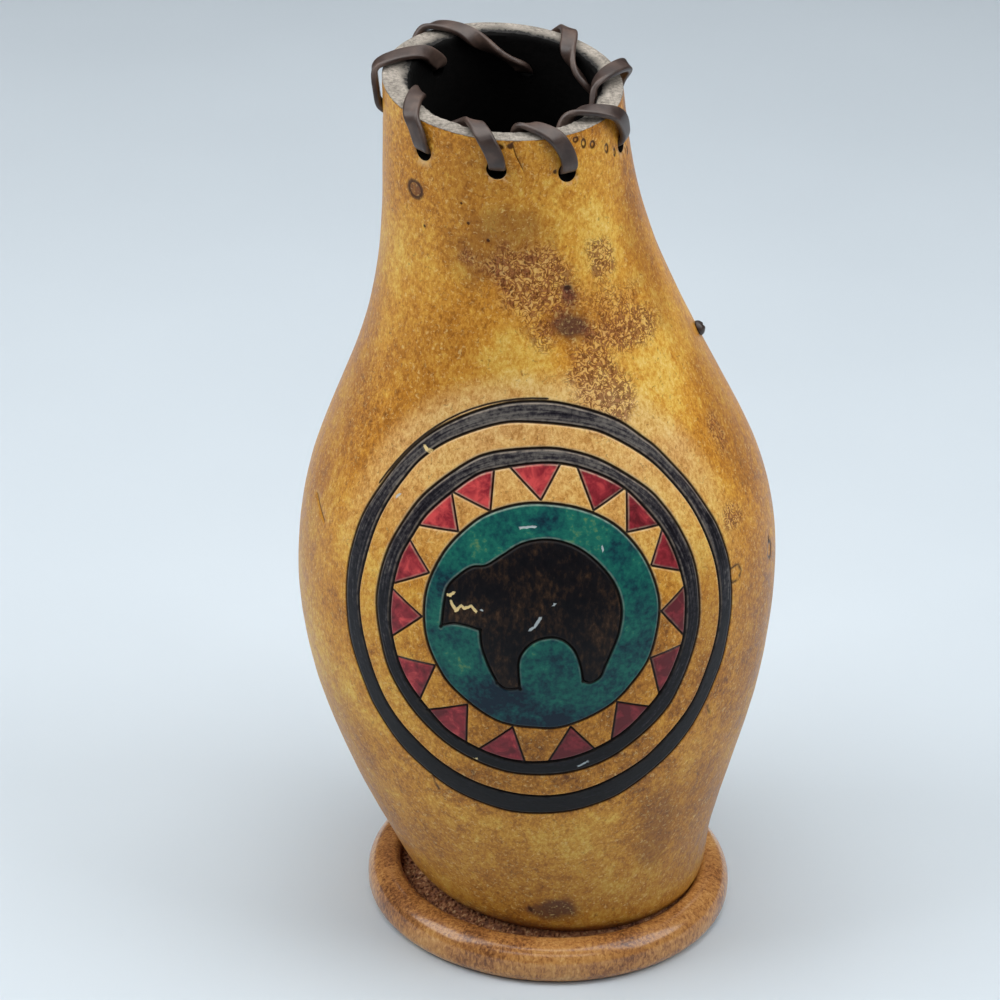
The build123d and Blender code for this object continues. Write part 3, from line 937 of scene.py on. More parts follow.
# Sawn edge: rings across the wall, each a share of it in from the skin and a drop below the saw cut.
# Its face is rough, and its inner corner is ragged and sooty from the blackened inside, most at the back.
edge_shares = [0.0, 0.02, 0.06, 0.12, 0.22, 0.36, 0.5, 0.62, 0.73, 0.82, 0.89, 0.94, 1.0]
edge_drops = [edge_round, 0.08, 0.02, 0.0, 0.0, 0.0, 0.0, 0.0, 0.0, 0.02, 0.06, 0.15, 0.5]
rough_from = 0.05  # share of the wall
ragged_from = 0.7
columns_round = len(edge_angles) - 1
ring_angles = edge_angles[:-1]
edge_rings = []
for share, drop in zip(edge_shares, edge_drops):
    inset = share * wall_here(ring_angles)
    if ragged_from < share < 1:
        ring = skin_point(ring_angles, edge_level(ring_angles, inset), inset)
        inset = inset + uneven(ring, 0.9, 0.3) + uneven(ring, 3.0, 0.25)
    ring = skin_point(ring_angles, edge_level(ring_angles, inset) - drop, inset)
    if rough_from < share < 1:
        ring = ring + mouth_up * (uneven(ring, 0.8, 0.09) + uneven(ring, 4.0, 0.12) - 0.05)[:, None]
    edge_rings.append(ring)
edge_points = np.vstack(edge_rings)
edge_faces = band(len(edge_rings), columns_round)
edge_slots = np.full((len(edge_rings) - 1, columns_round), SAWN)
edge_slots[-2:] = INSIDE

# Inside: the same sheet at the wall's depth, down to the hollow's floor, and a tunnel for every hole
hollow_floor = foot_level + 7.0
inner_room = 2.2  # no spread of points nearer the inner edge, only one row of its own
row_below_inner_edge = 0.7
inner_hole_room = 0.5
inner_levels = np.arange(hollow_floor, mouth_level - 3.5, 3.0)
inner_columns = sheet_angles[::2]
inner_sheet = np.stack([axis.ravel() for axis in np.meshgrid(inner_columns[1:-1], inner_levels[1:])], 1)
inner_sheet = inner_sheet[clear_of_holes(inner_sheet, inner_hole_room)]
inner_sheet = inner_sheet[inner_sheet[:, 1] < edge_level(inner_sheet[:, 0], wall) - inner_room]
inner_edge = edge_level(edge_angles, wall_here(edge_angles)) - edge_drops[-1]
inner_mouth = np.stack([edge_angles, inner_edge], 1)
inner_sheet = np.vstack([inner_sheet, inner_mouth[1:-1] - (0, row_below_inner_edge)])
inner_outline = sheet_border(inner_columns, inner_levels, inner_mouth)
inner_places, inner_faces = cut_sheet(inner_sheet, inner_outline, hole_lines)
inner_points = skin_point(inner_places[:, 0], inner_places[:, 1], wall_here(inner_places[:, 0]))

gourd_points = [outer_grown]
gourd_lips = [outer_fields["lip"]]
gourd_soot = [np.zeros(len(outer_grown))]
gourd_faces = [tuple(face) for face in medallion_faces]
gourd_faces += [tuple(face + len(medallion_points)) for face in sheet_faces]
gourd_slots = list(medallion_slots) + [SKIN] * len(sheet_faces)


def join(points, faces, slots, lips=0.0, soot=0.0):
    """Adds points and faces to the gourd, in one material slot or in one for each face."""
    start = sum(len(part) for part in gourd_points)
    gourd_lips.append(np.broadcast_to(lips, len(points)))
    gourd_soot.append(np.broadcast_to(soot, len(points)))
    gourd_points.append(np.asarray(points))
    gourd_faces.extend(tuple(start + i for i in face) for face in faces)
    gourd_slots.extend(np.broadcast_to(slots, len(faces)))


# Soot begins at a share of the wall: nearer the skin towards the back, and nearest straight behind
behind = np.sin(ring_angles)
soot_from = 0.35 + 0.6 * np.clip(0.3 - behind, 0, 1) - 0.25 * np.clip(behind, 0, 1) ** 60
edge_soot = [(share - soot_from) / (1 - soot_from) for share in edge_shares]
join(edge_points, edge_faces, edge_slots.ravel(), soot=np.clip(np.concatenate(edge_soot), 0, 1))
join(inner_points, inner_faces, INSIDE)
hole_bevel = 0.16
for angle, level, radius in drilled_holes:
    rims = []
    for share, narrower in ((0.0, 0.0), (0.06, hole_bevel), (0.6, hole_bevel), (1.0, 0.0)):
        places = hole_loop(angle, level, radius - narrower)[:-1]
        rims.append(skin_point(places[:, 0], places[:, 1], share * wall_here(places[:, 0])))
    rims[0] = grown(rims[0])
    around = len(rims[0])
    # A hole's rim is pale along its lower half, a painted highlight where the rim catches the light
    lit_lower_rim = np.clip(-1.6 * np.sin(np.arange(around) * 2 * pi / around), 0, 1)
    join(np.vstack(rims), band(4, around), np.repeat([SKIN, INSIDE, INSIDE], around), np.tile(lit_lower_rim, 4))
for level, deep, ring in ((foot_level, 0.0, sheet_angles[:-1]), (hollow_floor, 1.0, inner_columns[:-1])):
    rim = skin_point(ring, np.full(len(ring), level), deep * wall_here(ring))
    middle = np.array([[gourd_drift(level), 0.0, level]])
    fan = [(i, (i + 1) % len(ring), len(ring)) for i in range(len(ring))]
    join(np.vstack([rim, middle]), fan, INSIDE)

gourd_points = np.vstack(gourd_points)
gourd_fields = {name: np.append(values, np.zeros(len(gourd_points) - len(values)))
                for name, values in outer_fields.items()}
gourd_fields["lip"] = np.concatenate(gourd_lips)
gourd_fields["soot"] = np.concatenate(gourd_soot)


def carved(tree, colour, lip_colour, lip_share):
    """A colour with its cuts dirty at the bottom, pale along their lips, partly scuffed and partly a
    painted highlight, and its worn places.
    """
    place = add(tree, "ShaderNodeTexCoord").outputs["Object"]
    rub = add(tree, "ShaderNodeTexNoise", inputs={"Vector": place, "Scale": per_mm(1.6)})
    rub = add(tree, "ShaderNodeMapRange", inputs={
        "Value": rub, "From Min": 0.34, "From Max": 0.56, "To Min": 0.25 * lip_share, "To Max": lip_share})
    # The lips' pale colour is partly scuffed paint and partly a painted highlight on the cut's edges
    lip = add(tree, "ShaderNodeAttribute", {"attribute_name": "lip"}).outputs["Fac"]
    rubbed_and_lit = add(tree, "ShaderNodeMath", {"operation": "MULTIPLY"}, {0: lip, 1: rub})
    colour = add(tree, "ShaderNodeMix", {"data_type": "RGBA"}, {0: rubbed_and_lit, 6: colour, 7: lip_colour})
    # Dirt in cuts, whitened scuffs and bare chips: where each begins and is full, its most and its colour
    for label, low, full, most, code in (("cut", 0.08, 0.45, 0.94, "#130C0A"),
                                         ("scuff", 0.35, 0.7, 0.85, "#B9C2C4"),
                                         ("chip", 0.45, 0.7, 1.0, "#E6CC90")):
        here = add(tree, "ShaderNodeAttribute", {"attribute_name": label}).outputs["Fac"]
        share = add(tree, "ShaderNodeMapRange", inputs={
            "Value": here, "From Min": low, "From Max": full, "To Max": most})
        colour = add(tree, "ShaderNodeMix", {"data_type": "RGBA"}, {0: share, 6: colour, 7: code})
    return colour


def gourd_skin():
    """Dyed and waxed gourd: gold to brown in fine upright fibres and clouds, with worm tracks and bites,
    and a painted sheen over the medallion's top.
    """
    material, tree = new_material("waxed gourd skin")
    place = add(tree, "ShaderNodeTexCoord").outputs["Object"]
    upright = add(tree, "ShaderNodeMapping", inputs={"Vector": place, "Scale": (1, 1, 0.65)})
    yellow, brown, high, worms, dark = [
        add(tree, "ShaderNodeAttribute", {"attribute_name": label}).outputs["Fac"]
        for label in ("yellow", "brown", "high", "worms", "dark")]
    # Noise for clouds, dabs, dark specks, pale flecks and worm tracks: size, detail, roughness, distortion
    cloud, dab, speck, fleck, worm = [
        add(tree, "ShaderNodeTexNoise", inputs={
            "Vector": place, "Scale": per_mm(size), "Detail": detail,
            "Roughness": rough, "Distortion": bent})
        for size, detail, rough, bent in (
            (22.0, 3.0, 0.55, 0.0), (2.8, 2.0, 0.6, 0.8), (0.9, 2.0, 0.6, 1.0), (0.65, 2.0, 0.6, 0.8),
            (1.12, 1.5, 0.5, 1.4))]
    fibre = add(tree, "ShaderNodeTexNoise", inputs={
        "Vector": upright, "Scale": per_mm(0.55), "Detail": 4.0, "Roughness": 0.7, "Distortion": 0.5})
    # high adds painted light at the medallion's top and painted shade at its bottom
    tone = total(tree, (cloud, 0.34), (dab, 0.24), (fibre, 0.42), (yellow, 0.075), (brown, -0.02),
                 (high, 0.04))
    colour = add(tree, "ShaderNodeValToRGB", inputs={"Fac": tone}, stops=[
        (0.34, "#6E4018"), (0.42, "#A0651F"), (0.48, "#BF7E29"), (0.54, "#D39738"), (0.62, "#E3B854"),
        (0.74, "#F2D68C")])
    strength = add(tree, "ShaderNodeMath", {"operation": "MULTIPLY"}, {0: brown, 1: 0.5})
    stain = add(tree, "ShaderNodeValToRGB", inputs={"Fac": strength}, stops=[
        (0.2, "#7A481D"), (0.5, "#653B26"), (0.85, "#452A2B")])
    # This pale colour, brought on by high, is a painted sheen over the medallion's top
    pale = add(tree, "ShaderNodeValToRGB", inputs={"Fac": total(tree, (fibre, 0.7), (dab, 0.3))}, stops=[
        (0.38, "#B98B52"), (0.5, "#DBB27A"), (0.62, "#EBCB98")])
    # Layers over the dye: what brings each one on, where it begins and is full, its most and its colour
    for value, low, full, most, above in (
            (brown, 0.0, 1.6, 0.85, stain), (high, 0.15, 0.9, 0.5, pale),
            (speck, 0.62, 0.72, 0.5, "#6B4420"), (fleck, 0.58, 0.7, 0.4, "#F0D58C")):
        share = add(tree, "ShaderNodeMapRange", inputs={
            "Value": value, "From Min": low, "From Max": full, "To Max": most})
        colour = add(tree, "ShaderNodeMix", {"data_type": "RGBA"}, {0: share, 6: colour, 7: above})
    # Worm tracks follow one level of their noise, with paler skin between them
    off_track = add(tree, "ShaderNodeMath", {"operation": "ABSOLUTE"}, {
        0: total(tree, (worm, 1.0), (1.0, -0.5))})
    between = add(tree, "ShaderNodeMapRange", inputs={
        "Value": off_track, "From Min": 0.08, "From Max": 0.16, "To Max": 0.52})
    between = add(tree, "ShaderNodeMath", {"operation": "MULTIPLY"}, {0: between, 1: worms})
    colour = add(tree, "ShaderNodeMix", {"data_type": "RGBA"}, {0: between, 6: colour, 7: "#E0B978"})
    track = add(tree, "ShaderNodeMapRange", inputs={
        "Value": off_track, "From Min": 0.04, "From Max": 0.12, "To Min": 1.0, "To Max": 0.0})
    track = add(tree, "ShaderNodeMath", {"operation": "MULTIPLY"}, {0: track, 1: worms})
    track = add(tree, "ShaderNodeMapRange", inputs={
        "Value": track, "From Min": 0.15, "From Max": 0.6, "To Max": 0.8})
    grub_brown = add(tree, "ShaderNodeValToRGB", inputs={"Fac": fibre}, stops=[
        (0.4, "#522617"), (0.6, "#985C3C")])
    colour = add(tree, "ShaderNodeMix", {"data_type": "RGBA"}, {0: track, 6: colour, 7: grub_brown})
    bitten = add(tree, "ShaderNodeMapRange", inputs={
        "Value": dark, "From Min": 0.3, "From Max": 0.8, "To Max": 0.9})
    colour = add(tree, "ShaderNodeMix", {"data_type": "RGBA"}, {0: bitten, 6: colour, 7: "#34190B"})
    colour = carved(tree, colour, "#D9B98A", lip_share=0.7)
    gloss = add(tree, "ShaderNodeMapRange", inputs={
        "Value": dab, "From Min": 0.3, "From Max": 0.7, "To Min": 0.34, "To Max": 0.5})
    finish(tree, colour, gloss, fibre, bump=0.22, depth=0.12, coat=0.22, coat_roughness=0.26, specular=0.12)
    return material


def dull_paint(tree, tone, stops, lip_colour, lip_share, low, high, coat):
    """The end of a craft paint: its tone's colours, pale lips that are partly rubbed and partly a painted
    highlight, and roughness between low and high.
    """
    place = add(tree, "ShaderNodeTexCoord").outputs["Object"]
    colour = add(tree, "ShaderNodeValToRGB", inputs={"Fac": tone}, stops=stops)
    colour = carved(tree, colour, lip_colour, lip_share)
    sheen = add(tree, "ShaderNodeTexNoise", inputs={"Vector": place, "Scale": per_mm(1.2)})
    gloss = add(tree, "ShaderNodeMapRange", inputs={
        "Value": sheen, "From Min": 0.3, "From Max": 0.7, "To Min": low, "To Max": high})
    relief = add(tree, "ShaderNodeTexNoise", inputs={
        "Vector": place, "Scale": per_mm(0.9), "Detail": 3.0, "Roughness": 0.6})
    finish(tree, colour, gloss, relief, bump=0.35, depth=0.14, coat=coat, coat_roughness=0.25, specular=0.1)


def black_paint():
    """Black paint for the two rings, dry-brushed along them so that grey streaks show, and greyer towards
    the top as a painted sheen.
    """
    material, tree = new_material("black ring paint")
    place = add(tree, "ShaderNodeTexCoord").outputs["Object"]
    out, high = [add(tree, "ShaderNodeAttribute", {"attribute_name": label}).outputs["Fac"]
                 for label in ("out", "high")]
    # The brush went round, so its streaks are half a millimetre wide across the rings and long along them
    along = add(tree, "ShaderNodeVectorMath", {"operation": "SCALE"}, {0: place, "Scale": per_mm(7.0)})
    streak = add(tree, "ShaderNodeMath", {"operation": "MULTIPLY"}, {0: out, 1: 1 / 0.5})
    across = add(tree, "ShaderNodeCombineXYZ", inputs={"Y": streak})
    brushed = add(tree, "ShaderNodeVectorMath", inputs={0: along, 1: across})
    streaks = add(tree, "ShaderNodeTexNoise", inputs={
        "Vector": brushed, "Scale": 1.0, "Detail": 3.0, "Roughness": 0.6})
    dust = add(tree, "ShaderNodeTexNoise", inputs={
        "Vector": place, "Scale": per_mm(0.8), "Detail": 3.0, "Roughness": 0.65})
    # high greys the rings towards the top, a painted sheen, and blackens them towards the bottom, painted
    # shade
    tone = total(tree, (streaks, 0.6), (dust, 0.4), (high, 0.15))
    stops = [(0.36, "#09080B"), (0.5, "#15131A"), (0.6, "#322F33"), (0.75, "#69645F")]
    dull_paint(tree, tone, stops, "#97897A", lip_share=0.75, low=0.32, high=0.46, coat=0.18)
    return material


def red_paint():
    """Red paint for the sun's rays, thinner and brighter in streaks, and lighter towards the top as a
    painted sheen.
    """
    material, tree = new_material("red ray paint")
    place = add(tree, "ShaderNodeTexCoord").outputs["Object"]
    high, right = [add(tree, "ShaderNodeAttribute", {"attribute_name": label}).outputs["Fac"]
                   for label in ("high", "right")]
    streaks = add(tree, "ShaderNodeTexNoise", inputs={
        "Vector": place, "Scale": per_mm(2.4), "Detail": 3.0, "Roughness": 0.6, "Distortion": 0.5})
    # high lightens the rays towards the top, a painted sheen, and darkens them towards the bottom, painted
    # shade
    tone = total(tree, (streaks, 1.0), (high, 0.12), (right, -0.17))
    stops = [(0.3, "#611A21"), (0.5, "#902932"), (0.7, "#CF4C4C")]
    dull_paint(tree, tone, stops, "#B59A82", lip_share=0.7, low=0.34, high=0.5, coat=0.35)
    return material


def green_paint():
    """Blue-green paint for the disc, dark blue in some places and worn thin in others, and lighter towards
    the top as a painted sheen.
    """
    material, tree = new_material("blue-green disc paint")
    place = add(tree, "ShaderNodeTexCoord").outputs["Object"]
    thin, blue, high = [add(tree, "ShaderNodeAttribute", {"attribute_name": label}).outputs["Fac"]
                        for label in ("thin", "blue", "high")]
    clouds = add(tree, "ShaderNodeTexNoise", inputs={
        "Vector": place, "Scale": per_mm(5.0), "Detail": 3.0, "Roughness": 0.6, "Distortion": 0.5})
    dabs = add(tree, "ShaderNodeTexNoise", inputs={
        "Vector": place, "Scale": per_mm(0.9), "Roughness": 0.6})
    # high lightens the disc towards the top, a painted sheen, and darkens it towards the bottom, painted
    # shade
    tone = total(tree, (clouds, 0.5), (dabs, 0.5), (thin, 0.1), (blue, -0.15), (high, 0.12), (1.0, -0.02))
    stops = [(0.28, "#112534"), (0.4, "#124248"), (0.5, "#165852"), (0.62, "#1F6B5C"), (0.76, "#648656")]
    dull_paint(tree, tone, stops, "#A8B4A4", lip_share=0.55, low=0.36, high=0.5, coat=0.2)
    return material


def figure_paint():
    """Near-black paint for the bear, with brown showing through where it is thin."""
    material, tree = new_material("figure paint")
    place = add(tree, "ShaderNodeTexCoord").outputs["Object"]
    upright = add(tree, "ShaderNodeMapping", inputs={"Vector": place, "Scale": (1, 1, 0.5)})
    clouds = add(tree, "ShaderNodeTexNoise", inputs={
        "Vector": place, "Scale": per_mm(6.0), "Detail": 3.0, "Roughness": 0.6})
    fibres = add(tree, "ShaderNodeTexNoise", inputs={
        "Vector": upright, "Scale": per_mm(0.8), "Detail": 3.0, "Roughness": 0.65})
    tone = total(tree, (clouds, 0.5), (fibres, 0.5))
    stops = [(0.38, "#0D0D11"), (0.48, "#151214"), (0.56, "#2C2019"), (0.68, "#553D2A")]
    dull_paint(tree, tone, stops, "#8A7A68", lip_share=0.3, low=0.36, high=0.52, coat=0.08)
    return material


def sawn_gourd():
    """The sawn wall: grey, dry and fibrous, with small pale and dark pores."""
    material, tree = new_material("sawn gourd edge")
    place = add(tree, "ShaderNodeTexCoord").outputs["Object"]
    pores = add(tree, "ShaderNodeTexNoise", inputs={
        "Vector": place, "Scale": per_mm(0.55), "Detail": 3.0, "Roughness": 0.65})
    blotches, smears = [add(tree, "ShaderNodeTexNoise", inputs={"Vector": place, "Scale": per_mm(size)})
                        for size in (4.0, 2.0)]
    inner = add(tree, "ShaderNodeAttribute", {"attribute_name": "soot"}).outputs["Fac"]
    tone = total(tree, (pores, 0.7), (blotches, 0.3))
    colour = add(tree, "ShaderNodeValToRGB", inputs={"Fac": tone}, stops=[
        (0.3, "#48433D"), (0.42, "#756F67"), (0.56, "#948D84"), (0.72, "#B7B0A4")])
    soot = total(tree, (inner, 1.0), (pores, 0.9), (smears, 0.7))
    soot = add(tree, "ShaderNodeMapRange", inputs={"Value": soot, "From Min": 0.95, "From Max": 1.5})
    colour = add(tree, "ShaderNodeMix", {"data_type": "RGBA"}, {0: soot, 6: colour, 7: "#0D0B0A"})
    gloss = add(tree, "ShaderNodeMapRange", inputs={
        "Value": pores, "From Min": 0.3, "From Max": 0.7, "To Min": 0.7, "To Max": 0.9})
    finish(tree, colour, gloss, pores, bump=0.5, depth=0.25)
    return material


def blackened_inside():
    """The scraped inside, painted dead black over its fibres."""
    material, tree = new_material("blackened gourd inside")
    place = add(tree, "ShaderNodeTexCoord").outputs["Object"]
    fibre = add(tree, "ShaderNodeTexNoise", inputs={
        "Vector": place, "Scale": per_mm(1.5), "Detail": 3.0, "Roughness": 0.6})
    colour = add(tree, "ShaderNodeValToRGB", inputs={"Fac": fibre}, stops=[
        (0.35, "#020202"), (0.7, "#070606")])
    gloss = add(tree, "ShaderNodeMapRange", inputs={
        "Value": fibre, "From Min": 0.3, "From Max": 0.7, "To Min": 0.8, "To Max": 0.95})
    finish(tree, colour, gloss, fibre, bump=0.6, depth=0.3, specular=0.12)
    return material


gourd_materials = [gourd_skin(), black_paint(), red_paint(), green_paint(), figure_paint(), sawn_gourd(),
                   blackened_inside()]
gourd = new_piece("carved_gourd", gourd_points, gourd_faces, gourd_materials, gourd_slots, gourd_fields, 50)
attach(gourd, "root")
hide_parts("gourd_shell")

# Lace: one long flat strip of dark brown leather, whipped clockwise over the sawn edge. It comes out
# through each hole, leans up the wall, goes over the edge and down inside; its two ends hang inside.
lace_width = 2.95
lace_thickness = 1.1
lace_corner = 0.42
lace_clearance = 0.35
lace_rest = wall / 2 + lace_clearance + lace_thickness / 2
lace_step = 0.35
lace_ease = 0.9  # how far a bend in the lace spreads along it
hole_turn_rise = 1.6
tail_depth = 15.0
tail_spread = 16.0
lace_stations = []


def lay(angles, across, levels, twists=0.0):
    """Adds stations to the lace: angles, across from mid-wall, up from the sawn edge, and twists."""
    lace_stations.extend(zip(*np.broadcast_arrays(angles, across, levels, twists)))


def inner_rest(angle):
    """How far from mid-wall the lace lies inside, at angles in degrees."""
    return lace_rest - wall + wall_here(np.radians(angle))


first_hole, first_depth = lace_stitches[0][:2]
swing = np.linspace(0, pi, 16)
along = np.linspace(0, 1, 8)
quarter = swing[:8]
first_rest = inner_rest(first_hole)
lay(first_hole, -first_rest, np.linspace(-tail_depth, -first_depth - hole_turn_rise, 8)[:-1])
lay(first_hole, -first_rest * np.cos(quarter), -first_depth - hole_turn_rise * (1 - np.sin(quarter)))
for number, (hole, depth, lean, sweep, rise, stand, twist) in enumerate(lace_stitches):
    out_level = hole_turn_rise - depth
    way = swing if number else swing[8:]
    reach = np.where(np.cos(way) > 0, inner_rest(hole), lace_rest)
    lay(hole, -np.cos(way) * reach, out_level - hole_turn_rise * np.sin(way))
    under = hole - lean - sweep
    reach = np.where(np.cos(swing) > 0, lace_rest + stand, inner_rest(under))
    across = np.append(lace_rest + stand * eased(along), np.cos(swing[1:]) * reach[1:])
    up = np.append(out_level * (1 - along), rise * np.sin(swing[1:]))
    gone = np.append(0, np.cumsum(np.hypot(np.diff(across), np.diff(up))))
    # The lean grows evenly into the sweep, so that the lace has no kink at the edge
    bend = np.log(lean / (lean + sweep)) / np.log(gone[len(along) - 1] / gone[-1])
    lay(hole - (lean + sweep) * (gone / gone[-1]) ** bend, across, up)
    last = number + 1 == len(lace_stitches)
    after, after_depth = lace_stitches[(number + 1) % len(lace_stitches)][:2]
    if last:
        after, after_depth = first_hole - 360 + tail_spread, tail_depth + hole_turn_rise
    angles = under + (after - under) * along[1:-1]
    turned = np.radians(twist) * np.sin(pi * along[1:-1])
    off_wall = inner_rest(angles) + (lace_width - lace_thickness) / 2 * np.sin(turned)
    lay(angles, -off_wall, (hole_turn_rise - after_depth) * along[1:-1], turned)
lay([after], -inner_rest(after), -tail_depth)


def smoothed(values):
    """Values along the lace, each averaged with its neighbours so that bends are spread out."""
    offsets = np.arange(-round(3 * lace_ease / lace_step), round(3 * lace_ease / lace_step) + 1)
    weights = np.exp(-0.5 * (offsets * lace_step / lace_ease) ** 2)
    padded = np.pad(values, ((offsets[-1], offsets[-1]), (0, 0)), "edge")
    return np.stack([np.convolve(column, weights / weights.sum(), "valid") for column in padded.T], 1)


lace_stations = np.array(lace_stations)
lace_places = np.array([wall_point(*station[:3]) for station in lace_stations])
gone = np.append(0, np.cumsum(np.linalg.norm(np.diff(lace_places, axis=0), axis=1)))
evenly = np.arange(0, gone[-1], lace_step)
lace_line = smoothed(np.stack([np.interp(evenly, gone, column) for column in lace_places.T], 1))
across, up, twist = [np.interp(evenly, gone, column) for column in lace_stations.T[1:]]
loop_across, loop_up = np.gradient(across), np.gradient(up)
lace_facing = unit(skin_facing(lace_line) * loop_up[:, None] - mouth_up * loop_across[:, None])
lace_along = unit(np.gradient(lace_line, axis=0))
lace_facing = smoothed(lace_facing)
lace_facing = unit(lace_facing - (lace_facing * lace_along).sum(1, keepdims=True) * lace_along)
lace_facing = (lace_facing * np.cos(twist)[:, None]
               + np.cross(lace_along, lace_facing) * np.sin(twist)[:, None])


def lace_leather():
    """Dark brown lacing leather: satin and slightly grainy, lighter and darker in soft clouds."""
    material, tree = new_material("lacing leather")
    place = add(tree, "ShaderNodeTexCoord").outputs["Object"]
    hide = add(tree, "ShaderNodeTexNoise", inputs={
        "Vector": place, "Scale": per_mm(4.0), "Detail": 3.0, "Roughness": 0.6})
    grain = add(tree, "ShaderNodeTexNoise", inputs={
        "Vector": place, "Scale": per_mm(0.35), "Roughness": 0.6})
    colour = add(tree, "ShaderNodeValToRGB", inputs={"Fac": hide}, stops=[
        (0.3, "#2E2320"), (0.52, "#43352F"), (0.74, "#5D4B42")])
    gloss = add(tree, "ShaderNodeMapRange", inputs={
        "Value": hide, "From Min": 0.3, "From Max": 0.7, "To Min": 0.34, "To Max": 0.48})
    finish(tree, colour, gloss, grain, bump=0.3, depth=0.08, coat=0.15)
    return material


leather = lace_leather()
lace_mesh = bpy.data.meshes.new("rim_lacing")
lace_mesh.from_pydata((lace_line * MM).tolist(), [(i, i + 1) for i in range(len(lace_line) - 1)], [])
flat_sides = lace_mesh.attributes.new("flat face", "FLOAT_VECTOR", "POINT").data
flat_sides.foreach_set("vector", lace_facing.ravel())
lacing = bpy.data.objects.new("rim_lacing", lace_mesh)
bpy.context.scene.collection.objects.link(lacing)

lace_tree, lace_in, lace_out = new_node_tree("flat lace", ["Width", "Thickness", "Corner"])
path = add(lace_tree, "GeometryNodeMeshToCurve", inputs={"Mesh": lace_in.outputs["Mesh"]})
flat_face = add(lace_tree, "GeometryNodeInputNamedAttribute", {"data_type": "FLOAT_VECTOR"}, {
    "Name": "flat face"})
laid = add(lace_tree, "GeometryNodeSetCurveNormal", {"mode": "FREE"}, {
    "Curve": path.outputs["Curve"], "Normal": flat_face.outputs["Attribute"]})
blank = add(lace_tree, "GeometryNodeCurvePrimitiveQuadrilateral", inputs={
    "Width": lace_in.outputs["Thickness"], "Height": lace_in.outputs["Width"]})
section = add(lace_tree, "GeometryNodeFilletCurve", {"mode": "POLY"}, {
    "Curve": blank.outputs["Curve"], "Count": 4, "Radius": lace_in.outputs["Corner"]})
strip = add(lace_tree, "GeometryNodeCurveToMesh", inputs={
    "Curve": laid.outputs["Curve"], "Profile Curve": section.outputs["Curve"], "Fill Caps": True})
whole_strip = add(lace_tree, "GeometryNodeRealizeInstances", inputs={0: strip.outputs["Mesh"]})
lace_finish = add(lace_tree, "GeometryNodeSetMaterial", inputs={
    0: whole_strip.outputs[0], "Material": leather})
lace_tree.links.new(lace_finish.outputs[0], lace_out.inputs[0])
grow(lacing, lace_tree, {
    "Width": lace_width * MM, "Thickness": lace_thickness * MM, "Corner": lace_corner * MM})
lacing.data.polygons.foreach_set("use_smooth", np.ones(len(lacing.data.polygons), bool))
lacing.data.set_sharp_from_angle(angle=radians(50))
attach(lacing, "root")
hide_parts("rim_lace")

# Side knot: the knotted end of a scrap of the same leather, pulled tight against a small hole in the
# right shoulder. A thick stop inside the wall keeps it there.
knot_spot = skin_point(np.array(radians(knot_place[0])), np.array(knot_place[1]))
knot_out = skin_facing(knot_spot)
knot_side = unit(np.cross((0, 0, 1), knot_out))
knot_up = np.cross(knot_out, knot_side)
knot_radius = 1.4
knot_rise = 1.15
knot_base = 0.2
fold_depth = 0.2
fold_width = 0.28
fold_slant = 0.5
fold_place = 0.25
stem_radius = 0.7
stop_radius = 1.35
stop_half = 0.5  # half as thick as the stop, and the round of its rim
stop_middle = -wall - 1.9
dome = np.linspace(pi / 2, 0, 14)

knot_profile = [(knot_radius * cos(a), knot_base + knot_rise * sin(a)) for a in dome]
knot_profile += [(knot_radius - 0.15, knot_base - 0.1), (stem_radius, knot_base - 0.1)]
knot_profile += [(stem_radius, -wall - 1.2)]
knot_profile += arc(stop_radius - stop_half, stop_middle, stop_half, 90, -90)
knot_profile += [(0.0, stop_middle - stop_half)]
knot_points, knot_faces = lathe(knot_profile, 40)
domed = np.clip((knot_points[:, 2] - knot_base) / knot_rise, 0, 1)
off_fold = knot_points[:, 0] + fold_slant * knot_points[:, 1] - fold_place
fold = np.exp(-((off_fold / fold_width) ** 2))
knot_points[:, 2] -= domed * (fold_depth * fold - uneven(knot_points, 0.6, 0.12))
knot_points = knot_spot + knot_points @ np.array([knot_side, knot_up, knot_out])
knot = new_piece("shoulder_knot", knot_points, knot_faces, [leather], crease=60)
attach(knot, "root")
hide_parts("side_knot")

# Stage: a plain pale floor, soft studio lights above, at both sides, behind and in front, and a long lens
# at the photograph's angle
floor_half = 3.0
floor_mesh = bpy.data.meshes.new("floor")
floor_corners = [(-floor_half, -floor_half, 0), (floor_half, -floor_half, 0),
                 (floor_half, floor_half, 0), (-floor_half, floor_half, 0)]
floor_mesh.from_pydata(floor_corners, [], [(0, 1, 2, 3)])
paper, paper_tree = new_material("pale studio paper")
paper_place = add(paper_tree, "ShaderNodeTexCoord").outputs["Object"]
paper_tone = add(paper_tree, "ShaderNodeTexNoise", inputs={"Vector": paper_place, "Scale": per_mm(90.0)})
paper_colour = add(paper_tree, "ShaderNodeValToRGB", inputs={"Fac": paper_tone}, stops=[
    (0.3, "#CED9E2"), (0.7, "#D2DDE6")])
finish(paper_tree, paper_colour, 0.8, paper_tone, bump=0.05, depth=0.1)
floor_mesh.materials.append(paper)
floor = bpy.data.objects.new("floor", floor_mesh)
bpy.context.scene.collection.objects.link(floor)


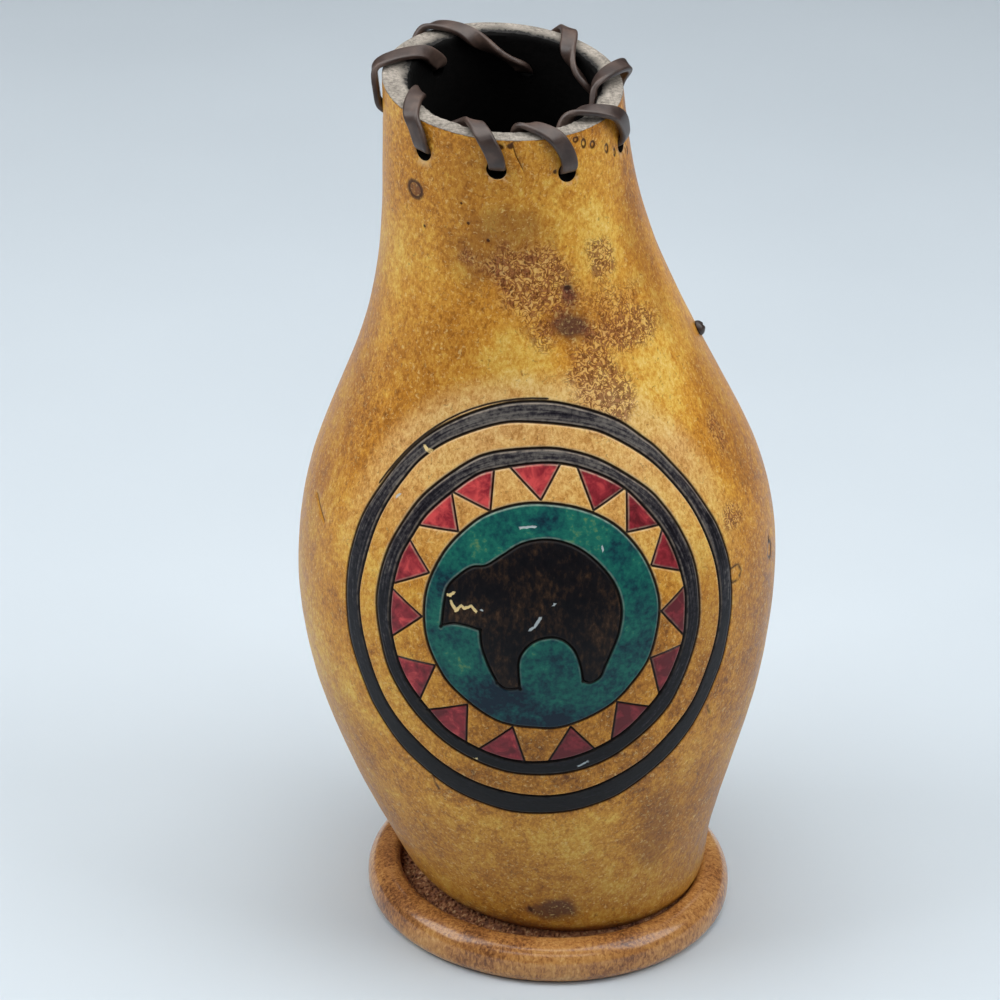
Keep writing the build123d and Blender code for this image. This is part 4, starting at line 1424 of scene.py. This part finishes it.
def soft_light(name, place, aim, size, power, code):
    """A soft rectangular light at a place, aimed at another."""
    lamp = bpy.data.lights.new(name, "AREA")
    lamp.shape = "RECTANGLE"
    lamp.size, lamp.size_y = size
    lamp.energy = power
    lamp.color = linear(code)[:3]
    light = bpy.data.objects.new(name, lamp)
    light.location = place
    light.rotation_euler = (Vector(aim) - Vector(place)).to_track_quat("-Z", "Y").to_euler()
    light.visible_camera = False
    bpy.context.scene.collection.objects.link(light)


soft_light("top box", (0.0, 0.0, 0.5), (0.0, 0.0, 0.0), (0.5, 0.4), 1.85, "#FFFEFB")
soft_light("left box", (-0.6, -0.15, 0.6), (0.0, 0.0, 0.08), (0.5, 0.5), 3.1, "#FFFFFF")
soft_light("right box", (0.6, -0.15, 0.6), (0.0, 0.0, 0.08), (0.5, 0.5), 2.75, "#FFFFFF")
soft_light("back box", (0.0, 0.4, 0.55), (0.0, 0.25, 0.0), (0.6, 0.3), 0.6, "#FFFFFF")
soft_light("front box", (0.0, -0.885, 0.885), (0.0, 0.0, 0.1), (1.2, 0.2), 1.75, "#FFFFFF")
world = bpy.data.worlds.new("studio")
world.use_nodes = True
world.node_tree.nodes["Background"].inputs["Color"].default_value = linear("#D9E6F5")
world.node_tree.nodes["Background"].inputs["Strength"].default_value = 0.06
bpy.context.scene.world = world
bpy.context.scene.view_settings.view_transform = "Standard"

lens_pitch = radians(29.0)
lens_roll = radians(2.0)
lens_place = (-0.011375, -0.861968, 0.559686)
level_right = Vector((1, 0, 0))
level_up = Vector((0, sin(lens_pitch), cos(lens_pitch)))
view_right = level_right * cos(lens_roll) + level_up * sin(lens_roll)
view_up = level_up * cos(lens_roll) - level_right * sin(lens_roll)
lens = bpy.data.cameras.new("camera")
lens.sensor_width = 36.0
lens.lens = 198.0
camera = bpy.data.objects.new("camera", lens)
camera.matrix_world = (Matrix.Translation(lens_place)
                       @ Matrix([view_right, view_up, view_right.cross(view_up)]).transposed().to_4x4())
bpy.context.scene.collection.objects.link(camera)
bpy.context.scene.camera = camera
